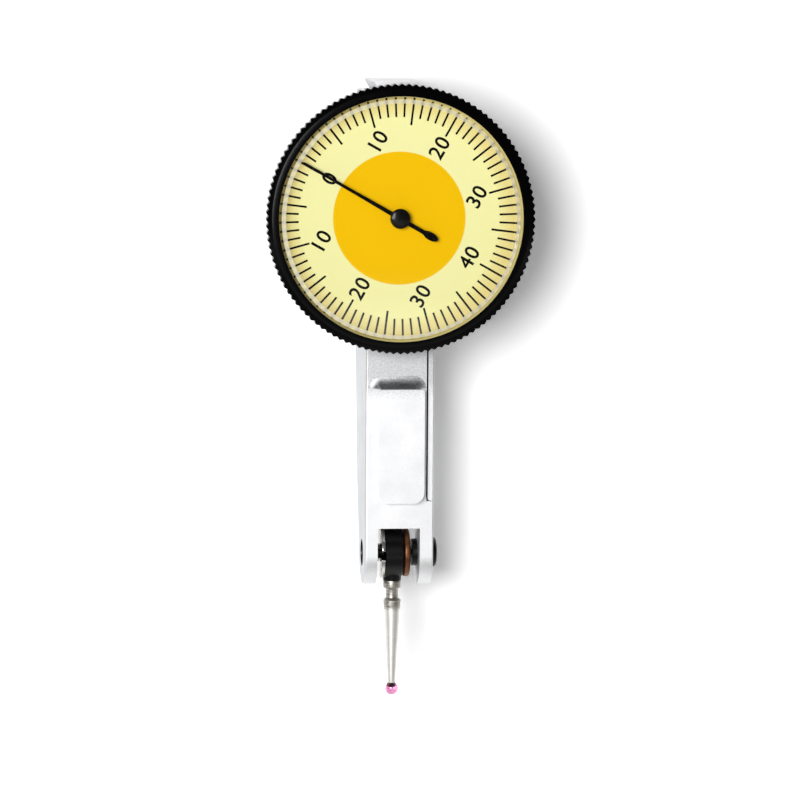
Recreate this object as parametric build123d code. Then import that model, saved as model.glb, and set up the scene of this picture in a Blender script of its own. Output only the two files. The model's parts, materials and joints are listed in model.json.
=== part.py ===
from build123d import *

import os
from math import acos, atan2, cos, degrees, hypot, pi, radians, sin, tan

# A dial test indicator lying on its back dovetail, dial up, stylus along -Y.
# Millimetres. Z is the dial's axis and X is the axis that the stylus swings about.
# The origin lies under the dial's axis, in the flat face of the back dovetail.

# Clearances
SEAT = 0.01
RUN = 0.03
END_PLAY = 0.05
OVER = 1.0  # how far a cut reaches past what it cuts

# Dovetail rails
RAIL_W = 6.9
RAIL_H = 1.5
RAIL_ANGLE = 60.0
RAIL_CORNER_R = 0.2
BACK_RAIL_END_Y = -20.0
PAD_X = 0.8
PAD_TOP_Y = -25.8
PAD_LENGTH = 17.2
PAD_H = 1.9
PAD_CORNER_R = 0.5
PAD_TOE_R = 1.6

# Body
BODY_LEFT_X = -4.5
BODY_W = 10.35
BODY_DEPTH = 16.8
BODY_TOP_Y = 18.55
BODY_EDGE_R = 0.35
BODY_RIGHT_EDGE_R = 0.2
TAPER_START_Y = -23.0
TAPER_END_Y = -41.5
TAPER_RISE = 3.6

# Side cover
COVER_T = 0.9
COVER_END_Y = -42.8
COVER_CORNER_R = 0.4
COVER_END_GAP = 0.13
SEAM_W = 0.2
SEAM_DEPTH = 0.9
CHANNEL_TO_COVER_END = 1.4
COVER_SCREW_D = 1.2
COVER_SCREW_HEAD_D = 2.0
COVER_SCREW_LENGTH = 2.6
COVER_BOSS_D = 3.0
COVER_SCREW_EDGE = 2.9

# Fork and its pivot
PIVOT_Y = -51.3
PIVOT_TO_FRONT = 4.8
LEFT_EAR_T = 1.96
SLOT_W = 6.37
SLOT_FLOOR_GAP = 4.27
LEFT_RECESS_D = 4.1
LEFT_RECESS_DEPTH = 0.7
LEFT_SCREW_D = 3.0
LEFT_SCREW_HEAD_T = 0.45
PIVOT_PIN_D = 1.45
PIVOT_CONE_DEPTH = 0.35
PIVOT_POINT_D = 0.87
POINT_END_D = 0.1
SCREW_SLOT_W = 0.45
SMALL_SLOT_W = 0.3
BUSH_D = 4.13
BUSH_PROUD = 0.8
RIGHT_SCREW_D = 2.2
RIGHT_HEAD_D = 4.6
RIGHT_HEAD_PROUD = 0.95
RIGHT_HEAD_DOME = 0.6
RIGHT_SLOT_DEPTH = 0.28
RIGHT_TIP_D = 0.9
RIGHT_POINT_D = 0.6

# Lever and stylus
FLANGE_GAP = 0.79
FLANGE_T = 0.5
FLANGE_R = 3.95
FLANGE_SLOT_W = 1.35
LEVER_BOSS_D = 2.77
LEVER_BOSS_T = 0.35
AXLE_D = 2.4
AXLE_SPIGOT_D = 1.92
AXLE_END_D = 1.2
CUP_END_D = 0.2
HUB_W = 2.74
HUB_R = 3.85
HUB_EDGE = 0.15
WASHER_GAP = 0.15
WASHER_T = 0.92
WASHER_R = 3.7
WASHER_EDGE = 0.19
NUT_T = 0.33
NUT_D = 2.1
NUT_FLATS = 1.7
STYLUS_LENGTH = 20.9
HUB_COLLAR_REACH = 4.25
HUB_COLLAR_D = 2.75
COLLAR_REACH = 5.33
COLLAR_D = 2.65
NECK_D = 1.86
NECK_CHAMFER_H = 0.28
NECK_REACH = 6.93
SHOULDER_D = 2.65
SHOULDER_REACH = 7.3
STYLUS_TIP_D = 1.08
STYLUS_SCREW_D = 1.4
STYLUS_SCREW_LENGTH = 2.0
BALL_D = 2.0
BALL_SEAT = 0.62  # from the ball's centre to the shank's end

# Gear train
MODULE = 0.14
SECTOR_FULL_TEETH = 120
SECTOR_CUT_TEETH = 11
PINION_TEETH = 10
CROWN_TEETH = 64
TURN_PER_REV = 0.8
ADDENDUM = 0.9
DEDENDUM = 1.3
TOOTH_SHARE = 0.42
ROOT_SHARE = 1.25
TIP_SHARE = 0.45
CROWN_TIP_SHARE = 0.55
TRAIN_TO_FRONT = 8.8
ARBOR_D = 0.7
ARBOR_PIVOT_D = 0.3
SECTOR_X = 1.3
SECTOR_T = 0.6
SECTOR_HUB_D = 2.4
FORK_CHEEK = 0.55
FORK_DEPTH = 1.4
DRIVE_PIN_D = 0.6
CROWN_WEB_T = 0.45
CROWN_RIM_W = 0.9
CROWN_RIM_T = 0.55
CROWN_HUB_D = 2.0
CROWN_SPOKE_W = 0.7
CROWN_PINION_X = 1.0
CROWN_PINION_L = 1.2
CENTRE_PINION_L = 1.6
ARM_H = 2.0
ARM_ROOT_H = 2.48
ARM_ROOT_RUN = 1.0
ARM_TIP_R = 0.9
STOP_PIN_D = 0.7
STOP_GAP = 0.12
STOP_TO_PIN = 5.8
STOP_PIN_END = 1.0
WINDOW_GAP = 0.3
SWING_OVER = 1.055

# Movement frame
POCKET_FLOOR_X = -3.4
SECTOR_FLOOR_X = -2.4
JEWEL_D = 1.2
JEWEL_T = 0.5
BRIDGE_TO_COVER = 1.65
BRIDGE_T = 0.8
PILLAR_D = 1.7
PILLAR_GAP = 0.6
LOW_PILLAR_ANGLE = 45.0
TOP_PILLAR_ANGLE = 12.0
TAIL_PILLAR_DOWN = 5.1
TAIL_PILLAR_OUT = 3.1
BRIDGE_RIM = 1.35
POCKET_GAP = 0.25
BRIDGE_SCREW_D = 0.8
BRIDGE_SCREW_HEAD_D = 1.5
BRIDGE_SCREW_HEAD_T = 0.35
BRIDGE_SCREW_LENGTH = 2.0
COCK_T = 1.0
COCK_W = 2.0
COCK_X = 0.55
COCK_JEWEL_RIM = 0.3
COCK_SCREW_COVER = 0.3
COCK_GAP = 1.75
COCK_LEG_Y = 3.2
COCK_FOOT_L = 3.6
POCKET_CORNER_R = 0.8
SECTOR_ROOM = 3.9
FRONT_WALL = 1.7

# Dial case and bezel
CASE_FLANGE_W = 1.2
CASE_FLOOR_T = 0.9
CASE_WALL_T = 0.9
CASE_WALL_H = 2.1
CASE_SCREW_D = 1.2
CASE_SCREW_HEAD_D = 2.1
CASE_SCREW_LENGTH = 2.2
CASE_SCREW_X = 2.4
CASE_SCREW_Y = 12.5
SPRING_WIRE_D = 0.4
SPRING_RISE = 0.9
SPRING_GAP_ANGLE = 30.0
CENTRE_JEWEL_D = 1.8
BEZEL_R = 20.0
KNURL_TEETH = 120
KNURL_DEPTH = 0.32
BEZEL_GAP = 0.2
BEZEL_H = 6.2
BEZEL_WALL = 1.08
BEZEL_LIP_W = 0.45
BEZEL_LIP_T = 0.7
BEZEL_FRONT_EDGE = 0.9
BEZEL_CHAMFER_H = 0.55
BEZEL_LAND_H = 3.3
BEZEL_LAND_IN = 0.67
RETAINER_W = 1.01
RETAINER_H = 1.9
RETAINER_GAP = 0.08
DIAL_T = 0.35
DIAL_HOLE_D = 2.2
SPACER_T = 0.6
GASKET_T = 0.15
GASKET_W = 0.35
CRYSTAL_FLANGE_T = 0.7
CRYSTAL_RISE = 0.75
CRYSTAL_LEDGE_W = 0.42
CRYSTAL_BEVEL_W = 0.6
CRYSTAL_BEVEL_H = 0.45
CRYSTAL_DOME_H = 0.55
CRYSTAL_T = 1.3
CRYSTAL_RIM_W = 0.2

# Pointer and hairspring
POINTER_ANGLE = 150.2
POINTER_TO_WINDOW = 1.35
POINTER_TAIL_R = 6.5
POINTER_W = 0.26
POINTER_TAIL_W = 0.46
POINTER_WEIGHT_W = 0.86
POINTER_WEIGHT_L = 2.6
POINTER_T = 0.15
POINTER_LIFT = 1.0
POINTER_HUB_D = 2.95
POINTER_HUB_OVER = 0.35
POINTER_HUB_DOME = 0.3
POINTER_BOSS_R = 0.9
SPRING_LIFT = 0.55
HAIRSPRING_INNER_R = 0.95
HAIRSPRING_PITCH = 0.7
HAIRSPRING_TURNS = 5
HAIRSPRING_STEPS = 20
HAIRSPRING_T = 0.08
HAIRSPRING_H = 0.25
COLLET_R = 0.85
COLLET_H = 0.45
STUD_D = 0.8
STUD_SPIGOT_D = 0.4
STUD_SPIGOT_L = 0.6

# Places worked out from the sizes above
REAR_Z = RAIL_H
FRONT_Z = REAR_Z + BODY_DEPTH
BODY_RIGHT_X = BODY_LEFT_X + BODY_W
COVER_IN_X = BODY_RIGHT_X - COVER_T
BRIDGE_X = COVER_IN_X - BRIDGE_TO_COVER
PIVOT_Z = FRONT_Z - PIVOT_TO_FRONT
TRAIN_Z = FRONT_Z - TRAIN_TO_FRONT
SLOT_LEFT_X = BODY_LEFT_X + LEFT_EAR_T
SLOT_RIGHT_X = SLOT_LEFT_X + SLOT_W
SLOT_FLOOR_Y = PIVOT_Y + SLOT_FLOOR_GAP

FLANGE_X = SLOT_LEFT_X + FLANGE_GAP
BOSS_X = FLANGE_X - LEVER_BOSS_T
HUB_X = FLANGE_X + FLANGE_T
WASHER_X = HUB_X + HUB_W + RUN + WASHER_GAP
NUT_X = WASHER_X + WASHER_T
AXLE_END_X = NUT_X + NUT_T
STYLUS_X = HUB_X + RUN + HUB_W / 2

PINION_R = MODULE * PINION_TEETH / 2
SECTOR_R = MODULE * SECTOR_FULL_TEETH / 2
CROWN_R = MODULE * CROWN_TEETH / 2
CROWN_PLANE_X = -PINION_R
CROWN_TIP_X = CROWN_PLANE_X + MODULE * ADDENDUM
CROWN_ROOT_X = CROWN_PLANE_X - MODULE * DEDENDUM
CROWN_RIM_X = CROWN_ROOT_X - CROWN_RIM_T
CROWN_WEB_X = CROWN_RIM_X - CROWN_WEB_T
SECTOR_Y = -(SECTOR_R + PINION_R)

# One turn of the pointer is a stylus stroke of TURN_PER_REV, which sets the lever's two arms
STYLUS_STEP = degrees(TURN_PER_REV / STYLUS_LENGTH)
TRAIN_RATIO = 360.0 / STYLUS_STEP
GEAR_RATIO = SECTOR_FULL_TEETH / PINION_TEETH * CROWN_TEETH / PINION_TEETH
ARM_RATIO = TRAIN_RATIO / GEAR_RATIO
AXES_APART = hypot(SECTOR_Y - PIVOT_Y, TRAIN_Z - PIVOT_Z)
TAIL_LENGTH = AXES_APART / (1 + ARM_RATIO)
ARM_LENGTH = AXES_APART - TAIL_LENGTH
ARM_ANGLE = degrees(atan2(TRAIN_Z - PIVOT_Z, SECTOR_Y - PIVOT_Y))
ARM_SWING = STYLUS_STEP / 2 * SWING_OVER
PIN_Y = PIVOT_Y + ARM_LENGTH * cos(radians(ARM_ANGLE))
PIN_Z = PIVOT_Z + ARM_LENGTH * sin(radians(ARM_ANGLE))

POCKET_FRONT_Z = FRONT_Z - FRONT_WALL
CENTRE_PINION_Z = TRAIN_Z + CROWN_R - CENTRE_PINION_L / 2
COCK_TOP_Z = TRAIN_Z + COCK_GAP + COCK_T
CROWN_OUTER_R = CROWN_R + CROWN_RIM_W / 2
PILLAR_REACH = CROWN_OUTER_R + PILLAR_GAP + PILLAR_D / 2
LOW_TURN = radians(LOW_PILLAR_ANGLE)
TOP_TURN = radians(TOP_PILLAR_ANGLE)
LOW_PILLAR = (-PILLAR_REACH * cos(LOW_TURN), TRAIN_Z - PILLAR_REACH * sin(LOW_TURN))
TOP_PILLAR = (PILLAR_REACH * cos(TOP_TURN), TRAIN_Z - PILLAR_REACH * sin(TOP_TURN))
TAIL_PILLAR = (SECTOR_Y - TAIL_PILLAR_DOWN, TRAIN_Z + TAIL_PILLAR_OUT)
PILLARS = [LOW_PILLAR, TOP_PILLAR, TAIL_PILLAR]
COVER_SCREWS = [
    (BODY_TOP_Y - COVER_SCREW_EDGE, REAR_Z + COVER_SCREW_EDGE),
    (BODY_TOP_Y - COVER_SCREW_EDGE, FRONT_Z - COVER_SCREW_EDGE),
    (TAPER_START_Y, REAR_Z + COVER_SCREW_EDGE),
    (TAPER_START_Y, FRONT_Z - COVER_SCREW_EDGE),
    (COVER_END_Y + COVER_SCREW_EDGE, REAR_Z + TAPER_RISE + COVER_SCREW_EDGE),
    (COVER_END_Y + COVER_SCREW_EDGE, FRONT_Z - COVER_SCREW_EDGE),
]

BEZEL_BORE_R = BEZEL_R - KNURL_DEPTH - BEZEL_WALL
BEZEL_WINDOW_R = BEZEL_BORE_R - BEZEL_LIP_W
BEZEL_FRONT_R = BEZEL_R - BEZEL_FRONT_EDGE
CASE_WALL_R = BEZEL_BORE_R - SEAT - RETAINER_W - RETAINER_GAP
CASE_R = CASE_WALL_R + CASE_FLANGE_W
POINTER_R = BEZEL_WINDOW_R - POINTER_TO_WINDOW
CASE_Z = FRONT_Z
CASE_FLOOR_Z = CASE_Z + CASE_FLOOR_T
CASE_TOP_Z = CASE_FLOOR_Z + CASE_WALL_H
BEZEL_Z = CASE_FLOOR_Z + BEZEL_GAP
BEZEL_TOP_Z = BEZEL_Z + BEZEL_H
RETAINER_Z = BEZEL_Z + BEZEL_GAP
DIAL_Z = RETAINER_Z + RETAINER_H
DIAL_TOP_Z = DIAL_Z + DIAL_T
GASKET_Z = BEZEL_TOP_Z - BEZEL_LIP_T - GASKET_T
CRYSTAL_Z = GASKET_Z - CRYSTAL_FLANGE_T
POINTER_Z = DIAL_TOP_Z + POINTER_LIFT
ARBOR_TOP_Z = POINTER_Z + POINTER_T + POINTER_HUB_OVER
HAIRSPRING_Z = CASE_FLOOR_Z + SPRING_LIFT
JEWEL_UPPER_Z = CASE_Z + (CASE_FLOOR_T - JEWEL_T) / 2
STUD_R = HAIRSPRING_INNER_R + HAIRSPRING_PITCH * HAIRSPRING_TURNS + STUD_D / 2


def span_x(face, start, end):
    """Push a face drawn in the YZ plane along X, from one place to another."""
    return extrude(Pos(start, 0, 0) * face, amount=end - start, dir=(1, 0, 0))


def rod_x(y, z, start, end, diameter):
    """A round bar along X."""
    middle = (start + end) / 2
    return Pos(middle, y, z) * Rot(0, 90, 0) * Cylinder(diameter / 2, end - start)


def cone_x(y, z, start, end, start_diameter, end_diameter):
    """A cone or tapered bar along X, with a diameter for each end."""
    middle = (start + end) / 2
    return Pos(middle, y, z) * Rot(0, 90, 0) * Cone(start_diameter / 2, end_diameter / 2, end - start)


def rod_z(x, y, bottom, top, diameter):
    """A round bar along Z."""
    return Pos(x, y, (bottom + top) / 2) * Cylinder(diameter / 2, top - bottom)


def cone_z(x, y, bottom, top, bottom_diameter, top_diameter):
    """A cone along Z, with a diameter for each end."""
    return Pos(x, y, (bottom + top) / 2) * Cone(bottom_diameter / 2, top_diameter / 2, top - bottom)


def ring_z(inner, outer, bottom, top):
    """A flat ring about the dial's axis, given by its radii."""
    return rod_z(0, 0, bottom, top, 2 * outer) - rod_z(0, 0, bottom, top, 2 * inner)


def box_between(low, high):
    """A box from its lowest corner to its highest."""
    size = [b - a for a, b in zip(low, high)]
    middle = [(a + b) / 2 for a, b in zip(low, high)]
    return Pos(*middle) * Box(*size)


def revolved(points):
    """Turn an outline of (radius, height) points about the dial's axis."""
    outline = Plane.XZ * make_face(Polyline(*points, close=True))
    return revolve(outline, Axis.Z)


def yz_polygon(points, corner=0.0):
    """A face in the YZ plane from (y, z) points, its corners rounded where asked."""
    face = make_face(Polyline(*points, close=True))
    if corner:
        face = fillet(face.vertices(), corner)
    return Plane.YZ * face


def yz_circle(y, z, diameter):
    """A round face in the YZ plane."""
    return Plane.YZ * Pos(y, z) * Circle(diameter / 2)


def tooth_points(teeth, pitch_r, first_angle, count=None):
    """Outline of gear teeth about the origin: root, pitch line and tip, both sides of each tooth."""
    step = 2 * pi / teeth
    tip_r = pitch_r + MODULE * ADDENDUM
    root_r = pitch_r - MODULE * DEDENDUM
    pitch_half = step * TOOTH_SHARE / 2
    shape = [(root_r, pitch_half * ROOT_SHARE), (pitch_r, pitch_half), (tip_r, pitch_half * TIP_SHARE)]
    flanks = [(r, -half) for r, half in shape] + [(r, half) for r, half in reversed(shape)]
    points = []
    for tooth in range(count or teeth):
        middle = radians(first_angle) + tooth * step
        points += [(r * cos(middle + off), r * sin(middle + off)) for r, off in flanks]
    return points


def pinion_x(y, z, start, end, first_angle):
    """A small gear on an arbor along X."""
    face = make_face(Polyline(*tooth_points(PINION_TEETH, PINION_R, first_angle), close=True))
    return span_x(Plane.YZ * Pos(y, z) * face, start, end)


def arbor_x(y, z, start, end):
    """An arbor along X, between pivots of smaller diameter that turn in the jewels."""
    shoulder = rod_x(y, z, start + JEWEL_T, end - JEWEL_T, ARBOR_D)
    return shoulder + rod_x(y, z, start + RUN, end - RUN, ARBOR_PIVOT_D)


def jewel_x(y, z, start):
    """A pierced jewel for an arbor along X."""
    hole = ARBOR_PIVOT_D + 2 * RUN
    return rod_x(y, z, start, start + JEWEL_T - END_PLAY, JEWEL_D) - rod_x(
        y, z, start, start + JEWEL_T - END_PLAY, hole
    )


def countersunk_x(y, z, top, shank_d, head_d, length):
    """A flat screw driven along -X, its slotted head flush with the face at top."""
    head_t = (head_d - shank_d) / 2
    head = cone_x(y, z, top - head_t, top, shank_d, head_d)
    half = SMALL_SLOT_W / 2
    slot = box_between((top - head_t / 2, y - head_d, z - half), (top, y + head_d, z + half))
    return head + rod_x(y, z, top - length, top - head_t, shank_d) - slot


def rail_profile(height):
    """Outline of a dovetail, its wide face up, as four (x, height) corners."""
    undercut = height / tan(radians(RAIL_ANGLE))
    half = RAIL_W / 2
    return [(-half + undercut, 0), (half - undercut, 0), (half, height), (-half, height)]


def side_outline():
    """The body seen from the side: flat front and back, a tapered back end and round ears."""
    knee = (TAPER_END_Y, REAR_Z + TAPER_RISE)
    away = (knee[0] - PIVOT_Y, knee[1] - PIVOT_Z)
    reach = hypot(*away)
    turn = atan2(away[1], away[0]) - acos(PIVOT_TO_FRONT / reach)
    touch = (PIVOT_Y + PIVOT_TO_FRONT * cos(turn), PIVOT_Z + PIVOT_TO_FRONT * sin(turn))
    lines = [
        Line((TAPER_START_Y, REAR_Z), (BODY_TOP_Y, REAR_Z)),
        Line((BODY_TOP_Y, REAR_Z), (BODY_TOP_Y, FRONT_Z)),
        Line((BODY_TOP_Y, FRONT_Z), (PIVOT_Y, FRONT_Z)),
        ThreePointArc((PIVOT_Y, FRONT_Z), (PIVOT_Y - PIVOT_TO_FRONT, PIVOT_Z), touch),
        Line(touch, knee),
        Line(knee, (TAPER_START_Y, REAR_Z)),
    ]
    return make_face(lines)


def cover_outline(clearance=0.0):
    """The side of the body down to the cover's rounded lower end, drawn in the YZ plane."""
    cut = Pos((BODY_TOP_Y + COVER_END_Y) / 2, FRONT_Z / 2) * Rectangle(
        BODY_TOP_Y - COVER_END_Y + 2 * clearance, 4 * FRONT_Z
    )
    face = side_outline() & cut
    low = face.vertices().sort_by(Axis.X)[:2]
    return Plane.YZ * fillet(low, COVER_CORNER_R + clearance)


def front_pad():
    """The dovetail on the front face, with a rounded toe."""
    profile = Plane.XZ * make_face(Polyline(*rail_profile(PAD_H), close=True))
    rail = Pos(PAD_X, PAD_TOP_Y, FRONT_Z) * extrude(profile, amount=PAD_LENGTH, dir=(0, -1, 0))
    outline = Pos(PAD_X, PAD_TOP_Y - PAD_LENGTH / 2) * Rectangle(RAIL_W, PAD_LENGTH)
    outline = fillet(outline.vertices().sort_by(Axis.Y)[:2], PAD_TOE_R)
    outline = fillet(outline.vertices().sort_by(Axis.Y)[-2:], PAD_CORNER_R)
    return rail & extrude(Pos(0, 0, FRONT_Z - OVER) * outline, amount=PAD_H + 2 * OVER)


def top_rail():
    """The dovetail on the top end, running from front to back."""
    profile = make_face(Polyline(*rail_profile(RAIL_H), close=True))
    profile = fillet(profile.vertices().sort_by(Axis.Y)[-2:], RAIL_CORNER_R)
    return Pos(0, BODY_TOP_Y, REAR_Z) * extrude(profile, amount=BODY_DEPTH)


def back_rail():
    """The dovetail on the back, which the indicator lies on."""
    profile = Plane.XZ * make_face(Polyline(*[(x, -z) for x, z in rail_profile(RAIL_H)], close=True))
    return Pos(0, BODY_TOP_Y, REAR_Z) * extrude(profile, amount=BODY_TOP_Y - BACK_RAIL_END_Y, dir=(0, -1, 0))


def train_pocket():
    """The milled pockets that hold the train, open to the side that the cover closes."""
    margin = BRIDGE_RIM + POCKET_GAP
    low_y = LOW_PILLAR[0] - margin
    low_z = LOW_PILLAR[1] - margin
    high_y = max(TOP_PILLAR[0] + margin, COCK_LEG_Y + COCK_FOOT_L + POCKET_GAP)
    wheel = yz_polygon(
        [(low_y, low_z), (high_y, low_z), (high_y, POCKET_FRONT_Z), (low_y, POCKET_FRONT_Z)], POCKET_CORNER_R
    )
    tail_y = TAIL_PILLAR[0] - margin
    tail_z = TAIL_PILLAR[1] + margin
    below = TRAIN_Z - SECTOR_ROOM
    sector = yz_polygon([(tail_y, below), (0, below), (0, tail_z), (tail_y, tail_z)], POCKET_CORNER_R)
    pocket = span_x(wheel, POCKET_FLOOR_X, BODY_RIGHT_X) + span_x(sector, SECTOR_FLOOR_X, BODY_RIGHT_X)
    return pocket + arm_channel()


def arm_channel():
    """The slot that the plate lever's arm swings in, from the fork to the sector's pocket."""
    swing_room = ARM_LENGTH * sin(radians(ARM_SWING)) + STOP_GAP + POCKET_GAP
    half = ARM_H / 2 + swing_room
    start = COVER_END_Y + CHANNEL_TO_COVER_END - PIVOT_Y
    end = TAIL_PILLAR[0] - PIVOT_Y
    channel = box_between((FLANGE_X - swing_room, start, -half), (BODY_RIGHT_X, end, half))
    window_half = ARM_H / 2 + 2 * WINDOW_GAP
    window = box_between((FLANGE_X - WINDOW_GAP, 0, -window_half), (HUB_X + WINDOW_GAP, end, window_half))
    return Pos(0, PIVOT_Y, PIVOT_Z) * Rot(ARM_ANGLE, 0, 0) * (channel + window)


def blank():
    """The block before milling, with its long edges rounded."""
    block = span_x(Plane.YZ * side_outline(), BODY_LEFT_X, BODY_RIGHT_X)
    block = fillet(block.faces().sort_by(Axis.X)[0].edges(), BODY_EDGE_R)
    return fillet(block.faces().sort_by(Axis.X)[-1].edges(), BODY_RIGHT_EDGE_R)


def body():
    """The milled body: side outline, three dovetails, fork, pockets and pivot holes."""
    block = blank() + front_pad() + top_rail() + back_rail()
    block -= span_x(cover_outline(COVER_END_GAP), COVER_IN_X, BODY_RIGHT_X + OVER)
    block -= cover_seam()
    fork_low = (SLOT_LEFT_X, PIVOT_Y - PIVOT_TO_FRONT - OVER, 0)
    block -= box_between(fork_low, (SLOT_RIGHT_X, SLOT_FLOOR_Y, FRONT_Z + OVER))
    pocket = train_pocket()
    for y, z in COVER_SCREWS:
        pocket -= rod_x(y, z, POCKET_FLOOR_X, BODY_RIGHT_X, COVER_BOSS_D)
    block -= pocket
    for y, z in COVER_SCREWS:
        block -= rod_x(y, z, BODY_RIGHT_X - COVER_SCREW_LENGTH - SEAT, BODY_RIGHT_X, COVER_SCREW_D + 2 * SEAT)
    block -= rod_x(PIVOT_Y, PIVOT_Z, BODY_LEFT_X, BODY_LEFT_X + LEFT_RECESS_DEPTH, LEFT_RECESS_D)
    block -= rod_x(PIVOT_Y, PIVOT_Z, BODY_LEFT_X, SLOT_LEFT_X, LEFT_SCREW_D + 2 * SEAT)
    block -= rod_x(PIVOT_Y, PIVOT_Z, SLOT_RIGHT_X, BODY_RIGHT_X, BUSH_D + 2 * SEAT)
    block -= rod_z(0, 0, POCKET_FRONT_Z - OVER, FRONT_Z, CENTRE_JEWEL_D)
    block -= rod_x(0, TRAIN_Z, POCKET_FLOOR_X - JEWEL_T, POCKET_FLOOR_X, JEWEL_D + 2 * SEAT)
    block -= rod_x(SECTOR_Y, TRAIN_Z, SECTOR_FLOOR_X - JEWEL_T, SECTOR_FLOOR_X, JEWEL_D + 2 * SEAT)
    for y, z in stop_places():
        block -= rod_x(y, z, BODY_LEFT_X + STOP_PIN_END, BODY_RIGHT_X, STOP_PIN_D + 2 * SEAT)
    for x, y in case_screw_places():
        block -= rod_z(x, y, CASE_FLOOR_Z - CASE_SCREW_LENGTH - SEAT, FRONT_Z, CASE_SCREW_D + 2 * SEAT)
    screw_end = FRONT_Z - COCK_SCREW_COVER
    block -= rod_z(*cock_screw_place(), POCKET_FRONT_Z - OVER, screw_end, BRIDGE_SCREW_D + 2 * SEAT)
    return block


def cover_seam():
    """The narrow groove in the front face, beside the cover's edge."""
    low = (COVER_IN_X - SEAM_W, COVER_END_Y - COVER_END_GAP, FRONT_Z - SEAM_DEPTH)
    return box_between(low, (COVER_IN_X, BODY_TOP_Y, FRONT_Z + OVER))


def case_screw_places():
    """Where the case is screwed down, in pairs above and below the dial's axis."""
    return [(x + PAD_X, y) for x in (-CASE_SCREW_X, CASE_SCREW_X) for y in (-CASE_SCREW_Y, CASE_SCREW_Y)]


def stop_places():
    """The limit pins lie on both sides of the lever's arm, near its end."""
    along = ARM_LENGTH - STOP_TO_PIN
    aside = ARM_H / 2 + STOP_PIN_D / 2 + along * sin(radians(ARM_SWING)) + STOP_GAP
    turn = radians(ARM_ANGLE)
    places = []
    for side in (-aside, aside):
        y = PIVOT_Y + along * cos(turn) - side * sin(turn)
        z = PIVOT_Z + along * sin(turn) + side * cos(turn)
        places.append((y, z))
    return places


def cock_screw_place():
    """The middle of the centre cock's foot."""
    return (COCK_X, COCK_LEG_Y + (COCK_T + COCK_FOOT_L) / 2)


def side_cover():
    """The flush plate that closes the train's side."""
    plate = span_x(cover_outline(), COVER_IN_X, BODY_RIGHT_X) & blank()
    for y, z in COVER_SCREWS:
        sink = (COVER_SCREW_HEAD_D - COVER_SCREW_D) / 2
        plate -= rod_x(y, z, COVER_IN_X, BODY_RIGHT_X, COVER_SCREW_D + 2 * SEAT)
        plate -= cone_x(
            y, z, BODY_RIGHT_X - sink, BODY_RIGHT_X, COVER_SCREW_D + 2 * SEAT, COVER_SCREW_HEAD_D + 2 * SEAT
        )
    return plate


def cover_screws():
    """Slotted flat screws of the side cover."""
    return Compound(
        [
            countersunk_x(y, z, BODY_RIGHT_X, COVER_SCREW_D, COVER_SCREW_HEAD_D, COVER_SCREW_LENGTH)
            for y, z in COVER_SCREWS
        ]
    )


def left_pivot_screw():
    """The slotted screw in the left ear, with a thin pin that ends in a point."""
    seat_x = BODY_LEFT_X + LEFT_RECESS_DEPTH
    head = rod_x(PIVOT_Y, PIVOT_Z, seat_x - LEFT_SCREW_HEAD_T, seat_x, LEFT_RECESS_D - 2 * RUN)
    shank = rod_x(PIVOT_Y, PIVOT_Z, seat_x, SLOT_LEFT_X, LEFT_SCREW_D)
    tip_x = BOSS_X - END_PLAY
    pin = rod_x(PIVOT_Y, PIVOT_Z, SLOT_LEFT_X, tip_x, PIVOT_PIN_D)
    point = cone_x(PIVOT_Y, PIVOT_Z, tip_x, tip_x + PIVOT_CONE_DEPTH, PIVOT_POINT_D, POINT_END_D)
    slot = box_between(
        (seat_x - LEFT_SCREW_HEAD_T, PIVOT_Y - LEFT_RECESS_D, PIVOT_Z - SCREW_SLOT_W / 2),
        (seat_x - LEFT_SCREW_HEAD_T / 2, PIVOT_Y + LEFT_RECESS_D, PIVOT_Z + SCREW_SLOT_W / 2),
    )
    return head + shank + pin + point - slot


def right_pivot_bush():
    """The bush in the right ear that guides the right pivot screw."""
    start = SLOT_RIGHT_X - BUSH_PROUD
    bush = rod_x(PIVOT_Y, PIVOT_Z, start, BODY_RIGHT_X, BUSH_D)
    return bush - rod_x(PIVOT_Y, PIVOT_Z, start, BODY_RIGHT_X, RIGHT_SCREW_D + 2 * SEAT)


def right_pivot_screw():
    """The screw with the proud domed head, whose point carries the lever's axle."""
    tip_x = AXLE_END_X + END_PLAY
    shank = rod_x(PIVOT_Y, PIVOT_Z, SLOT_RIGHT_X - BUSH_PROUD, BODY_RIGHT_X, RIGHT_SCREW_D)
    neck = rod_x(PIVOT_Y, PIVOT_Z, tip_x, SLOT_RIGHT_X - BUSH_PROUD, RIGHT_TIP_D)
    point = cone_x(PIVOT_Y, PIVOT_Z, tip_x - PIVOT_CONE_DEPTH, tip_x, POINT_END_D, RIGHT_POINT_D)
    head = rod_x(PIVOT_Y, PIVOT_Z, BODY_RIGHT_X + SEAT, BODY_RIGHT_X + RIGHT_HEAD_PROUD, RIGHT_HEAD_D)
    head = fillet(head.edges().sort_by(Axis.X)[-1], RIGHT_HEAD_DOME)
    head_x = BODY_RIGHT_X + RIGHT_HEAD_PROUD
    neck_in_head = rod_x(PIVOT_Y, PIVOT_Z, BODY_RIGHT_X, head_x - RIGHT_HEAD_DOME, RIGHT_SCREW_D)
    slot = box_between(
        (head_x - RIGHT_SLOT_DEPTH, PIVOT_Y - RIGHT_HEAD_D, PIVOT_Z - SCREW_SLOT_W / 2),
        (head_x + OVER, PIVOT_Y + RIGHT_HEAD_D, PIVOT_Z + SCREW_SLOT_W / 2),
    )
    return shank + neck + point + head + neck_in_head - slot


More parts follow.
